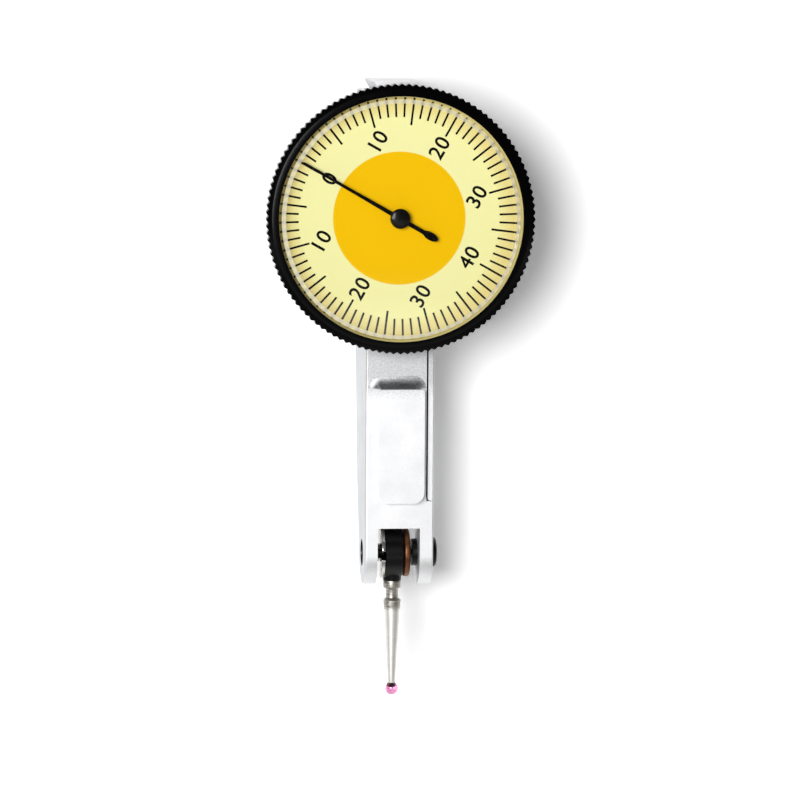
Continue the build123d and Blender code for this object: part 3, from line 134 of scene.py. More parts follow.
def grained_surface(tree, grain, rough, bump_mm, strength, inputs):
    """The end of a finish's tree: a surface whose gloss and height follow its grain."""
    gloss_range = [(0.3, grey(rough * (1 - GLOSS_SPREAD))), (0.7, grey(rough * (1 + GLOSS_SPREAD)))]
    gloss = add(tree, "ShaderNodeValToRGB", {"Fac": (grain, "Fac")}, gloss_range)
    lift = {"Height": (grain, "Fac"), "Distance": bump_mm * MM, "Strength": strength}
    height = add(tree, "ShaderNodeBump", lift)
    grained = {"Roughness": (gloss, "Color"), "Normal": (height, "Normal")}
    shader = add(tree, "ShaderNodeBsdfPrincipled", {**inputs, **grained})
    add(tree, "ShaderNodeOutputMaterial", {"Surface": (shader, "BSDF")})


def mottled_metal(
    name, base, dark, rough, grain_mm, bump_mm, streak=(1, 1, 1), painted_dark_band=None, grazing="#FFFFFF"
):
    """A bare or plated metal whose grain varies its tone, its gloss and its height. Streak stretches the
    grain along an axis. The painted dark band is (middle, inner, outer, above, colour): a dark band painted
    along the part, painted shade on the chrome and a painted reflection on the shank; full up to inner from
    its middle in Y and gone at outer, only above a height, and broken up by the grain. Grazing is the tint
    of what the metal mirrors at a low angle."""
    material, tree = new_material(name)
    place = add(tree, "ShaderNodeTexCoord")
    scale = tuple(PER_MM / grain_mm / s for s in streak)
    spot = add(tree, "ShaderNodeMapping", {"Vector": (place, "Object"), "Scale": scale})
    fine = {"Vector": (spot, "Vector"), "Scale": 1.0, "Detail": 3.0, "Roughness": 0.6}
    grain = add(tree, "ShaderNodeTexNoise", fine)
    soft = {"Vector": (place, "Object"), "Scale": PER_MM / (grain_mm * 14), "Detail": 2.0}
    cloud = add(tree, "ShaderNodeTexNoise", soft)  # 14 grains across
    mixed = add(tree, "ShaderNodeMath", {0: (grain, "Fac"), 1: (cloud, "Fac")}, operation="MULTIPLY")
    tones = [(0.12, linear(dark)), (0.34, linear(base))]
    tone = add(tree, "ShaderNodeValToRGB", {"Fac": (mixed, "Value")}, tones)
    colour = (tone, "Color")
    # painted shade and reflection: the band darkens the tone towards the painted colour
    if painted_dark_band:
        band, inner, outer, above, painted_band_colour = painted_dark_band
        along = add(tree, "ShaderNodeSeparateXYZ", {"Vector": (place, "Object")})
        off = add(tree, "ShaderNodeMath", {0: (along, "Y"), 1: band}, operation="SUBTRACT")
        far = add(tree, "ShaderNodeMath", {0: (off, "Value")}, operation="ABSOLUTE")
        ends = {"Value": (far, "Value"), "From Min": inner, "From Max": outer}
        share = add(tree, "ShaderNodeMapRange", ends)
        specks = [(0.36, grey(0.0)), (0.62, grey(0.45))]
        speck = add(tree, "ShaderNodeValToRGB", {"Fac": (grain, "Fac")}, specks)
        low = add(tree, "ShaderNodeMath", {0: (along, "Z"), 1: above}, operation="LESS_THAN")
        away = add(tree, "ShaderNodeMath", {0: (share, "Result"), 1: (low, "Value")}, operation="ADD")
        both = {0: (away, "Value"), 1: (speck, "Color")}
        clean = add(tree, "ShaderNodeMath", both, operation="ADD", use_clamp=True)
        tints = {"Factor": (clean, "Value"), 6: linear(painted_band_colour), 7: (tone, "Color")}
        shade = add(tree, "ShaderNodeMix", tints, data_type="RGBA")
        colour = (shade, 2)
    inputs = {"Base Color": colour, "Metallic": 1.0, "Specular Tint": linear(grazing)}
    grained_surface(tree, grain, rough, bump_mm, 0.6, inputs)
    return material


def dark_finish(name, base, pale, rough, grain_mm, bump_mm, specular=0.5):
    """A coat, oxide, ink, glue or rubber with a fine grain in its tone, its gloss and its height."""
    material, tree = new_material(name)
    place = add(tree, "ShaderNodeTexCoord")
    fine = {"Vector": (place, "Object"), "Scale": PER_MM / grain_mm, "Detail": 3.0}
    grain = add(tree, "ShaderNodeTexNoise", fine)
    tones = [(0.35, linear(base)), (0.7, linear(pale))]
    tone = add(tree, "ShaderNodeValToRGB", {"Fac": (grain, "Fac")}, tones)
    inputs = {"Base Color": (tone, "Color"), "Specular IOR Level": specular}
    grained_surface(tree, grain, rough, bump_mm, 0.5, inputs)
    return material


def dial_enamel(settings):
    """Baked cream enamel on a brass disc, with an amber disc printed on it. Enamel is matt and opaque, so it
    reads as flat colour; towards the rim it is painted deeper, to straw, as painted shade of the bezel. Its
    orange peel is about 0.35 mm and only just lifts the surface."""
    material, tree = new_material("Baked cream enamel")
    place = add(tree, "ShaderNodeTexCoord")
    flat = add(tree, "ShaderNodeVectorMath", {0: (place, "Object"), 1: (1, 1, 0)}, operation="MULTIPLY")
    radius = add(tree, "ShaderNodeVectorMath", {0: (flat, "Vector")}, operation="LENGTH")
    share = add(tree, "ShaderNodeMath", {0: (radius, "Value"), 1: DIAL_R}, operation="DIVIDE")
    # painted shade: the cream darkens to straw towards the rim
    creams_and_rim_shade = [(0.79, tuple(settings.enamel)), (0.87, linear("#F3E79C")), (0.98, linear("#DFD08C"))]
    cream = add(tree, "ShaderNodeValToRGB", {"Fac": (share, "Value")}, creams_and_rim_shade)
    orange = {"Vector": (place, "Object"), "Scale": PER_MM / 0.35, "Detail": 2.0}
    peel = add(tree, "ShaderNodeTexNoise", orange)
    edge = settings.disc_diameter / 2 / DIAL_R
    edges = [(edge - 0.002, grey(1)), (edge + 0.002, grey(0))]
    inside = add(tree, "ShaderNodeValToRGB", {"Fac": (share, "Value")}, edges)
    tints = {"Factor": (inside, "Color"), 6: (cream, "Color"), 7: tuple(settings.disc_colour)}
    tone = add(tree, "ShaderNodeMix", tints, data_type="RGBA")
    height = add(tree, "ShaderNodeBump", {"Height": (peel, "Fac"), "Distance": 0.003 * MM, "Strength": 0.4})
    inputs = {"Base Color": (tone, 2), "Roughness": 0.6, "Specular IOR Level": 0.05}
    shader = add(tree, "ShaderNodeBsdfPrincipled", {**inputs, "Normal": (height, "Normal")})
    add(tree, "ShaderNodeOutputMaterial", {"Surface": (shader, "BSDF")})
    return material


def clear_solid(name, tint, ior, rough, open_to_lamps=True, clear=1.0):
    """A clear solid, with the slow wave of a polished or moulded face, 4 mm across. Where it is open to the
    lamps, their light passes it, so that what lies under it is lit. Clear is the share of light that
    passes; a cut face that was left matt scatters the rest."""
    material, tree = new_material(name)
    place = add(tree, "ShaderNodeTexCoord")
    slow = {"Vector": (place, "Object"), "Scale": PER_MM / 4.0, "Detail": 1.0}
    wave = add(tree, "ShaderNodeTexNoise", slow)
    height = add(tree, "ShaderNodeBump", {"Height": (wave, "Fac"), "Distance": 0.002 * MM, "Strength": 0.3})
    inputs = {"Base Color": linear(tint), "Roughness": rough, "IOR": ior, "Transmission Weight": clear}
    shader = add(tree, "ShaderNodeBsdfPrincipled", {**inputs, "Normal": (height, "Normal")})
    surface = (shader, "BSDF")
    if open_to_lamps:
        path = add(tree, "ShaderNodeLightPath")
        rays = {0: (path, "Is Shadow Ray"), 1: (path, "Is Diffuse Ray")}
        lit = add(tree, "ShaderNodeMath", rays, operation="MAXIMUM")
        through = add(tree, "ShaderNodeBsdfTransparent", {"Color": linear(tint)})
        mixed = add(tree, "ShaderNodeMixShader", {0: (lit, "Value"), 1: surface, 2: (through, "BSDF")})
        surface = (mixed, "Shader")
    add(tree, "ShaderNodeOutputMaterial", {"Surface": surface})
    return material


def satin_chrome():
    """Satin chrome over ground steel: pale, softly mirrored, with a blasted grain. The real grain is about
    0.05 mm; it is drawn at 0.25 mm, so that it shows. It is painted greyer under the bezel: painted shade of
    the bezel."""
    # painted shade: a greyer, speckled band on the front face under the bezel
    painted_bezel_shade = (-22.0 * MM, 2.6 * MM, 6.0 * MM, COVER_HIGH.z - 0.1 * MM, "#BFC0C1")
    return mottled_metal("Satin chrome on steel", "#F1F1F2", "#E6E7E8", 0.54, 0.25, 0.008, painted_dark_band=painted_bezel_shade)


def shaded_ground_flank():
    """The body's left flank, ground lengthwise before plating: the same chrome, painted a shade darker and
    tinted darker where it mirrors at a low angle, as painted shade of that side. Its grain is drawn at
    0.25 mm as well, four times as long."""
    name, along = "Satin chrome on a ground flank, painted shade", (1, 4, 1)
    # painted shade: darker tones and grazing tint than the front's chrome
    return mottled_metal(name, "#E4E6E8", "#DADCDE", 0.55, 0.25, 0.008, along, grazing="#E6E6E6")


def run_out_shade_chrome():
    """Satin chrome in the hollow above the front rail, painted half as bright and patchy: painted shade at
    the rail's upper end. half as bright, patchy.
    """
    return mottled_metal("Satin chrome, painted shade in the hollow", "#CFD0D1", "#8E8F90", 0.5, 0.25, 0.008)


def seam_painted_shade():
    """Painted shade in the seam round the cover: matt and black, so that the seam reads as a drawn line."""
    return dark_finish("Painted shade in the seam", "#020202", "#060606", 0.7, 0.2, 0.004, 0.05)


def black_oxide():
    """Black oxide on turned steel: thin and dark, with a soft shine of the steel below. The turning marks,
    about 0.03 mm apart, are drawn as a grain of 0.15 mm."""
    return dark_finish("Black oxide on steel", "#020202", "#050506", 0.3, 0.15, 0.003, 0.24)


def black_anodised():
    """Black anodised aluminium: deep black with a satin edge line on its slopes. The etched grain, about
    0.02 mm, is drawn at 0.12 mm."""
    return dark_finish("Black anodised aluminium", "#010101", "#040404", 0.2, 0.12, 0.004, 0.1)


def stoved_lacquer():
    """Black stoved lacquer on the pointer: smoother than the bezel, so that the domed hub takes a glint."""
    return dark_finish("Black stoved lacquer", "#020202", "#050505", 0.18, 0.15, 0.003, 0.22)


def printing_ink():
    """Screen-printed black ink: flat, a little uneven in tone, with no shine."""
    return dark_finish("Screen printed black ink", "#050503", "#0B0A08", 0.6, 0.2, 0.002, 0.04)


def turned_steel():
    """Bright turned steel: near white, with fine rings that soften its reflections. The rings, about
    0.05 mm apart, are drawn at 0.22 mm."""
    return mottled_metal("Bright turned steel", "#E6E5E1", "#C9C7C1", 0.2, 0.22, 0.003, streak=(1, 4, 4))


def sprung_bronze():
    """Phosphor bronze, blanked and tarnished: brown, with the rolling marks along it, drawn at 0.25 mm."""
    return mottled_metal("Sprung bronze", "#8E5F42", "#5E3C28", 0.4, 0.25, 0.004, streak=(6, 1, 1))


def ground_tool_steel():
    """The stylus's shank, cylindrically ground: pale and softly mirrored, with grinding rings, drawn at
    0.2 mm. The neck and the shoulder are painted grey, down to a sharp line: a painted reflection of the
    dark hub."""
    shoulder_reach = 4.7 * MM
    # painted reflection: the neck and shoulder painted grey
    painted_dark_band = (SHANK_END_Y, shoulder_reach + 1.3 * MM, shoulder_reach + 2.1 * MM, 0.0, "#8A857C")
    return mottled_metal("Ground tool steel", "#F6F5F0", "#ECEAE3", 0.44, 0.2, 0.001, (4, 1, 4), painted_dark_band)


def moulded_acrylic():
    """The crystal, moulded in clear acrylic: smooth as glass, seen mostly by the glints on its rim."""
    return clear_solid("Moulded acrylic", "#FFFFFF", 1.49, 0.0)


def turned_acrylic():
    """The crystal's bevel, turned and not polished: a pale haze round the dial."""
    return clear_solid("Turned acrylic, left matt", "#F4F2EC", 1.49, 0.3, clear=0.62)


def ball_ruby():
    """Synthetic ruby, polished to a mirror: clear rose, which gathers the dark of its seat and the white of
    the floor."""
    return clear_solid("Synthetic ruby", "#F092C6", 1.76, 0.02, open_to_lamps=False)


def seat_glue():
    """Epoxy under the ball, tinted dark by the ruby in front of it."""
    return dark_finish("Dark epoxy in the ball's seat", "#3A1020", "#5A1C38", 0.3, 0.2, 0.002)


def inside_finishes():
    """The finishes inside, by the record's slots: brass and steel brushed at 0.2 mm, blued springs, ruby
    bearings that gleam, and matt rubber."""
    return {
        "brass": mottled_metal("Brushed brass", "#D6B25E", "#B08E40", 0.3, 0.2, 0.003, (1, 5, 1)),
        "bright_steel": turned_steel(),
        "spring_steel": mottled_metal("Blued spring steel", "#5C6478", "#3E4558", 0.28, 0.2, 0.002),
        "pale_ruby": dark_finish("Synthetic ruby bearing", "#9C1440", "#C02458", 0.12, 0.3, 0.001),
        "soft_seal": dark_finish("Nitrile rubber", "#101010", "#1C1C1C", 0.75, 0.1, 0.01),
    }


# Meshes


def piece(name, mesh, material, body, replaced=()):
    """Link a finished mesh as a piece of the part, on the body that carries it."""
    if not mesh.polygons:
        raise RuntimeError(f"{name} came out empty")
    made = bpy.data.objects.new(name, mesh)
    bpy.context.scene.collection.objects.link(made)
    if material is not None:
        mesh.materials.clear()
        mesh.materials.append(material)
    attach(made, body)
    if replaced:
        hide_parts(*replaced)
    return made


def evaluated_mesh(maker):
    """The plain mesh of an object with its modifiers applied. The object itself is removed."""
    bpy.context.view_layer.update()
    graph = bpy.context.evaluated_depsgraph_get()
    ready = maker.evaluated_get(graph)
    mesh = bpy.data.meshes.new_from_object(ready, preserve_all_data_layers=True, depsgraph=graph)
    bpy.data.objects.remove(maker)
    return mesh


def mesh_from(work, name):
    """The mesh of finished work."""
    mesh = bpy.data.meshes.new(name)
    work.to_mesh(mesh)
    work.free()
    return mesh


def smooth_by_angle(mesh, angle):
    """Smooth shading, with edges sharper than the angle kept crisp."""
    mesh.shade_smooth()
    mesh.set_sharp_from_angle(angle=radians(angle))


def broken_edges(node, name, width_mm):
    """A CAD node's mesh with the small rounded edges of a machined part."""
    same_place = 2e-7  # metres
    flat = radians(0.6)
    work = bmesh.new()
    work.from_mesh(frame["nodes"][node].data)
    bmesh.ops.remove_doubles(work, verts=work.verts, dist=same_place)
    bmesh.ops.dissolve_limit(work, angle_limit=flat, verts=work.verts, edges=work.edges)
    clean = mesh_from(work, name)
    clean.shade_smooth()
    maker = bpy.data.objects.new(name + "_maker", clean)
    bpy.context.scene.collection.objects.link(maker)
    edges = maker.modifiers.new("Edges", "BEVEL")
    edges.width = width_mm * MM
    edges.segments = 2
    edges.limit_method = "ANGLE"
    edges.angle_limit = radians(32)
    edges.use_clamp_overlap = True
    even = maker.modifiers.new("Even normals", "WEIGHTED_NORMAL")
    even.mode = "FACE_AREA"
    even.weight = 100
    made = evaluated_mesh(maker)
    made.name = name
    return made


def lathe(name, outline, segments, sharp):
    """Turn a closed outline of (radius, height) points, in metres, about the dial's axis. Edges over the
    sharp angle stay crisp."""
    on_axis = 1e-7  # metres
    turns = [2 * pi * s / segments for s in range(segments)]
    work = bmesh.new()
    rings = []
    for r, z in outline:
        if r < on_axis:
            rings.append([work.verts.new((0, 0, z))])
        else:
            rings.append([work.verts.new((r * cos(t), r * sin(t), z)) for t in turns])
    for low, high in zip(rings, rings[1:] + rings[:1]):
        for s in range(segments):
            t = (s + 1) % segments
            corners = [low[s % len(low)], low[t % len(low)], high[t % len(high)], high[s % len(high)]]
            unique = list(dict.fromkeys(corners))
            if len(unique) > 2:
                work.faces.new(unique)
    bmesh.ops.recalc_face_normals(work, faces=work.faces)
    mesh = mesh_from(work, name)
    smooth_by_angle(mesh, sharp)
    return mesh


def arc(centre, radius, start, end, steps):
    """Points of an arc in a plane, angles in degrees."""
    turns = [radians(start + (end - start) * i / steps) for i in range(steps + 1)]
    return [(centre[0] + radius * cos(t), centre[1] + radius * sin(t)) for t in turns]


def skin(work, rows):
    """Faces over rows of corners, each row a ring of the same length. Returns the rings."""
    rings = [[work.verts.new(co) for co in row] for row in rows]
    for left, right in zip(rings, rings[1:]):
        for a in range(len(left)):
            b = (a + 1) % len(left)
            work.faces.new([left[a], left[b], right[b], right[a]])
    return rings


def bar(name, rows):
    """A bent bar: a closed skin over its sections, with both ends capped."""
    same_place = 1e-7  # metres
    work = bmesh.new()
    rings = skin(work, rows)
    work.faces.new(rings[0])
    work.faces.new(rings[-1])
    bmesh.ops.remove_doubles(work, verts=work.verts, dist=same_place)
    bmesh.ops.recalc_face_normals(work, faces=work.faces)
    return mesh_from(work, name)


def prism(work, outline, low, high):
    """A flat solid over an outline, between two heights. Returns its upper face."""
    floor = [work.verts.new((x, y, low)) for x, y in outline]
    roof = [work.verts.new((x, y, high)) for x, y in outline]
    work.faces.new(list(reversed(floor)))
    top = work.faces.new(roof)
    for a in range(len(outline)):
        b = (a + 1) % len(outline)
        work.faces.new([floor[a], floor[b], roof[b], roof[a]])
    return top


def plate(name, outline, low, high, edge):
    """A flat plate with a given outline and a small chamfer round its upper edge."""
    work = bmesh.new()
    top = prism(work, outline, low, high)
    bmesh.ops.recalc_face_normals(work, faces=work.faces)
    rim = list(top.edges)
    bmesh.ops.bevel(work, geom=rim, offset=edge, segments=1, affect="EDGES", clamp_overlap=True)
    return mesh_from(work, name)


def strip(name, start_r, end_r, width, low, high):
    """A thin straight bar from one radius to another along +X, between two heights."""
    work = bmesh.new()
    half = width / 2
    prism(work, [(start_r, -half), (end_r, -half), (end_r, half), (start_r, half)], low, high)
    return mesh_from(work, name)


def ring_of_copies():
    """A tree that sets copies of its geometry round the dial's axis, and leaves a plain joined mesh."""
    tree = bpy.data.node_groups.new("Copies round an axis", "GeometryNodeTree")
    given_sockets = {
        "Geometry": "Geometry",
        "Count": "Int",
        "First angle": "Float",
        "Skip every": "Int",
        "Merge distance": "Float",
        "Material": "Material",
    }
    for name, kind in given_sockets.items():
        tree.interface.new_socket(name, in_out="INPUT", socket_type="NodeSocket" + kind)
    tree.interface.new_socket("Geometry", in_out="OUTPUT", socket_type="NodeSocketGeometry")
    given = add(tree, "NodeGroupInput")
    line = add(tree, "GeometryNodeMeshLine", {"Count": (given, "Count"), "Offset": (0, 0, 0)})
    index = add(tree, "GeometryNodeInputIndex")
    step = add(tree, "ShaderNodeMath", {0: 2 * pi, 1: (given, "Count")}, operation="DIVIDE")
    angle = {0: (index, "Index"), 1: (step, "Value"), 2: (given, "First angle")}
    turn = add(tree, "ShaderNodeMath", angle, operation="MULTIPLY_ADD")
    rotation = add(tree, "ShaderNodeCombineXYZ", {"Z": (turn, "Value")})
    each = {0: (index, "Index"), 1: (given, "Skip every")}
    left = add(tree, "ShaderNodeMath", each, operation="FLOORED_MODULO")
    no_skips = add(tree, "ShaderNodeMath", {0: (given, "Skip every"), 1: 0.5}, operation="LESS_THAN")
    either = add(tree, "ShaderNodeMath", {0: (left, "Value"), 1: (no_skips, "Value")}, operation="ADD")
    kept = add(tree, "FunctionNodeCompare", {0: (either, "Value"), 1: 0.5}, operation="GREATER_THAN")
    spots = {"Points": (line, "Mesh"), "Selection": (kept, "Result")}
    spots.update({"Instance": (given, "Geometry"), "Rotation": (rotation, "Vector")})
    copies = add(tree, "GeometryNodeInstanceOnPoints", spots)
    real = add(tree, "GeometryNodeRealizeInstances", {"Geometry": (copies, "Instances")})
    seams = {"Geometry": (real, "Geometry"), "Distance": (given, "Merge distance")}
    joined = add(tree, "GeometryNodeMergeByDistance", seams)
    coat = {"Geometry": (joined, "Geometry"), "Material": (given, "Material")}
    dressed = add(tree, "GeometryNodeSetMaterial", coat)
    add(tree, "NodeGroupOutput", {"Geometry": (dressed, "Geometry")})
    return tree


def copies_mesh(name, mesh, material, count, first_angle=0.0, skip_every=0, merge=0.0):
    """The mesh repeated round the dial's axis by the tree above. Skipping leaves out every n-th copy."""
    tree = bpy.data.node_groups.get("Copies round an axis") or ring_of_copies()
    maker = bpy.data.objects.new(name + "_maker", mesh)
    bpy.context.scene.collection.objects.link(maker)
    modifier = maker.modifiers.new("Copies", "NODES")
    modifier.node_group = tree
    values = {
        "Count": count,
        "First angle": first_angle,
        "Skip every": skip_every,
        "Merge distance": merge,
        "Material": material,
    }
    for socket in tree.interface.items_tree:
        if socket.in_out == "INPUT" and socket.name in values:
            modifier[socket.identifier] = values[socket.name]
    made = evaluated_mesh(maker)
    made.name = name
    return made


# Settings


def length_prop(name, description, size_mm):
    """A length, given in mm."""
    size = size_mm * MM
    return FloatProperty(name=name, description=description, default=size, unit="LENGTH", precision=5)


def angle_prop(name, description, turn):
    """An angle, given in degrees."""
    return FloatProperty(name=name, description=description, default=radians(turn), subtype="ANGLE")


def colour_prop(name, description, code):
    """A colour, given as sRGB hex."""
    return FloatVectorProperty(
        name=name, description=description, default=linear(code), size=4, subtype="COLOR", min=0, max=1
    )


class DialSettings(bpy.types.PropertyGroup):
    divisions: IntProperty(name="Divisions", description="Lines round the dial", default=80, min=10)
    line_width: length_prop("Line width", "Width of a division line", 0.29)
    short_line_r: length_prop("Short lines from", "Radius where a short line starts", 14.95)
    long_line_r: length_prop("Long lines from", "Radius where every fifth line starts", 13.85)
    number_r: length_prop("Numbers at", "Radius of the numbers' middles", 11.95)
    number_height: length_prop("Number height", "Height of a figure", 2.3)
    number_weight: length_prop("Number weight", "Added to each side of a stroke", 0.045)
    turn: angle_prop("Turn", "Where zero stands, from the part's right side", 150.6)
    disc_diameter: length_prop("Disc diameter", "The printed disc in the dial's middle", 19.7)
    enamel: colour_prop("Enamel", "The dial's ground", "#FFFCB4")
    disc_colour: colour_prop("Disc colour", "The printed disc", "#FFC900")


class BezelSettings(bpy.types.PropertyGroup):
    teeth: IntProperty(name="Knurl teeth", description="Teeth round the bezel", default=120, min=12)
    depth: length_prop("Knurl depth", "Depth of a tooth", 0.32)
    skirt_height: length_prop("Skirt height", "Smooth part below the knurl", 3.3)
    window_r: length_prop("Window radius", "Opening in front", 18.15)
    face_r: length_prop("Face radius", "Outer edge of the flat front", 19.1)


class CrystalSettings(bpy.types.PropertyGroup):
    gap: length_prop("Gap", "Between window and bezel", 0.01)
    rim: length_prop("Rim", "Width of the foot inside the flange", 0.79)
    flange_height: length_prop("Flange height", "Under the bezel's lip", 0.7)
    ledge_width: length_prop("Ledge width", "Flat ring outside the bevel", 0.42)
    bevel_width: length_prop("Bevel width", "Across the bevel", 0.6)
    bevel_height: length_prop("Bevel height", "Up the bevel", 0.45)
    dome_height: length_prop("Dome height", "Rise of the dome", 0.55)
    thickness: length_prop("Thickness", "At the middle", 1.3)


class PointerSettings(bpy.types.PropertyGroup):
    turn: angle_prop("Turn", "Where it points at rest", 150.2)
    tip_r: length_prop("Tip", "From the axis to the tip", 16.8)
    tip_width: length_prop("Tip width", "Blade's width near the tip", 0.4)
    root_width: length_prop("Root width", "Blade's width at the hub", 0.66)
    tail_r: length_prop("Tail", "From the axis to the tail's end", 6.5)
    weight_length: length_prop("Weight length", "Of the oval weight", 2.6)
    weight_width: length_prop("Weight width", "Of the oval weight", 1.2)
    hub_dome: length_prop("Hub dome", "Height of the hub's dome", 0.3)


class BodySettings(bpy.types.PropertyGroup):
    edge: length_prop("Broken edge", "Width of the body's eased edges", 0.12)
    run_out_r: length_prop("Run-out radius", "Left by the cutter at the rail's upper end", 1.88)
    run_out_width: length_prop("Run-out width", "Straight part of the run-out", 5.0)
    pad_top_y: length_prop("Rail end", "Where the front rail starts", -25.8)
    run_out_x: length_prop("Run-out middle", "Across the body", 0.27)
    seam_width: length_prop("Seam width", "Gap beside the cover", 0.24)


class StageSettings(bpy.types.PropertyGroup):
    distance: FloatProperty(name="Camera distance", description="From the dial", default=0.6, unit="LENGTH")
    scale: FloatProperty(name="Pixels per mm", description="At the bezel's plane", default=6.76)
    azimuth: angle_prop("Azimuth", "Camera to the left of the dial's axis", 6.0)
    elevation: angle_prop("Elevation", "Camera above the dial", 3.8)
    roll: angle_prop("Roll", "Turn about the line of sight", 0.37)
    world: FloatProperty(name="World", description="Strength of the tent's light", default=0.18)
    key: FloatProperty(name="Key", description="Power of the large lamp, in watts", default=5.6)
    card: FloatProperty(name="Card", description="Strength of the white card beyond the stylus", default=1.9)
    glow: FloatProperty(name="Floor glow", description="Light that mirrors see in the floor", default=0.23)


# Pieces


class INDICATOR_OT_dial(bpy.types.Operator):
    """The dial: enamel ground, division lines and numbers"""

    bl_idname = "indicator.dial"
    bl_label = "Dial"

    def execute(self, context):
        settings = context.scene.indicator_dial
        enamel = dial_enamel(settings)
        for node in ("dial_face", "dial_spacer_ring"):
            frame["nodes"][node].data.materials[0] = enamel
        ink = printing_ink()
        low = DIAL_TOP + INK_LIFT
        high = low + INK_HEIGHT
        every = settings.divisions
        width = settings.line_width
        end_r = DIAL_R - 0.65 * MM
        short = strip("short_line", settings.short_line_r, end_r, width, low, high)
        long = strip("long_line", settings.long_line_r, end_r, width * 1.05, low, high)
        lines = copies_mesh("dial_short_lines", short, ink, every, settings.turn, 5)
        piece("dial_short_lines", lines, None, "bezel")
        lines = copies_mesh("dial_long_lines", long, ink, every // 5, settings.turn)
        piece("dial_long_lines", lines, None, "bezel")
        figures = ["0", "10", "20", "30", "40", "30", "20", "10"]
        upright = Matrix.Rotation(settings.turn - pi / 2, 4, "Z")
        for place, text in enumerate(figures):
            turn = settings.turn - place * 2 * pi / len(figures)
            mesh = self.figure(text, settings.number_height, low, high)
            self.embolden(mesh, settings.number_weight)
            middle = Matrix.Translation((settings.number_r * cos(turn), settings.number_r * sin(turn), 0))
            mesh.transform(middle @ upright)
            piece(f"dial_number_{place}", mesh, ink, "bezel")
        return {"FINISHED"}

    def figure(self, text, height, low, high):
        """A number as a thin raised mesh, its middle at the origin."""
        curve = bpy.data.curves.new("figure", "FONT")
        curve.body = text
        curve.size = height / FIGURE_SHARE
        curve.space_character = 1.08
        curve.extrude = (high - low) / 2
        curve.resolution_u = 6
        maker = bpy.data.objects.new("figure_maker", curve)
        bpy.context.scene.collection.objects.link(maker)
        mesh = evaluated_mesh(maker)
        xs = [v.co.x for v in mesh.vertices]
        ys = [v.co.y for v in mesh.vertices]
        mid = Vector(((min(xs) + max(xs)) / 2, (min(ys) + max(ys)) / 2, 0))
        mesh.transform(Matrix.Translation(Vector((0, 0, (low + high) / 2)) - mid))
        return mesh

    def embolden(self, mesh, amount):
        """Widen the strokes of a figure by moving its outline's corners outwards. A sharp corner moves 2.5
        times the amount at most."""
        work = bmesh.new()
        work.from_mesh(mesh)
        same_place = 1e-8  # metres
        bmesh.ops.remove_doubles(work, verts=work.verts, dist=same_place)
        work.normal_update()
        moves = []
        for vert in work.verts:
            sides = [face.normal.to_2d() for face in vert.link_faces if abs(face.normal.z) < 0.5]
            pairs = [(a.dot(b), a, b) for a in sides for b in sides]
            close, one, other = min(pairs, key=lambda pair: pair[0])
            moves.append((vert, (one + other) * (amount / max(0.4, 1 + close))))
        for vert, move in moves:
            vert.co.x += move.x
            vert.co.y += move.y
        work.to_mesh(mesh)
        work.free()


class INDICATOR_OT_bezel(bpy.types.Operator):
    """The knurled bezel, one tooth repeated round it"""

    bl_idname = "indicator.bezel"
    bl_label = "Bezel"

    def execute(self, context):
        settings = context.scene.indicator_bezel
        black = black_anodised()
        tooth = self.tooth(settings)
        joint = 0.0004 * MM  # corners of neighbours closer than this become one
        ring = copies_mesh("bezel_ring", tooth, black, settings.teeth, merge=joint)
        smooth_by_angle(ring, 26)
        piece("bezel_ring", ring, None, "bezel", ["bezel"])
        frame["nodes"]["dial_case"].data.materials[0] = black
        return {"FINISHED"}

    def tooth(self, settings):
        """One tooth with its slice of the ring: the bore, the land, both chamfers and the face."""
        top, bottom = BEZEL_FACE_Z, BEZEL_LOW.z
        land_r = BEZEL_R - 0.67 * MM  # the smooth skirt's radius
        land_z = bottom + settings.skirt_height
        slope_h = 0.55 * MM
        lip_z = top - 0.7 * MM
        ease = 0.06 * MM
        half = pi / settings.teeth
        crest = 0.12  # the crest's share of a tooth
        crest_drop = 0.02 * MM
        rows = []
        for share in (-1.0, -0.55, -crest, crest, 0.55, 1.0):
            edge = max(0.0, (abs(share) - crest) / (1 - crest))
            r = BEZEL_R - crest_drop - (settings.depth - crest_drop) * edge
            low_z = land_z + slope_h * (r - land_r) / (BEZEL_R - land_r)
            high_z = top - slope_h * (r - settings.face_r) / (BEZEL_R - settings.face_r)
            outline = [
                (BORE_R, bottom),
                (land_r, bottom),
                (land_r, land_z),
                (r, low_z),
                (r, high_z),
                (settings.face_r + ease, top - ease * 0.5),
                (settings.face_r - ease, top),
                (settings.window_r + ease, top),
                (settings.window_r, top - ease),
                (settings.window_r, lip_z),
                (BORE_R, lip_z),
            ]
            turn = half * share
            rows.append([(p[0] * cos(turn), p[0] * sin(turn), p[1]) for p in outline])
        work = bmesh.new()
        skin(work, rows)
        bmesh.ops.reverse_faces(work, faces=work.faces)
        return mesh_from(work, "tooth")


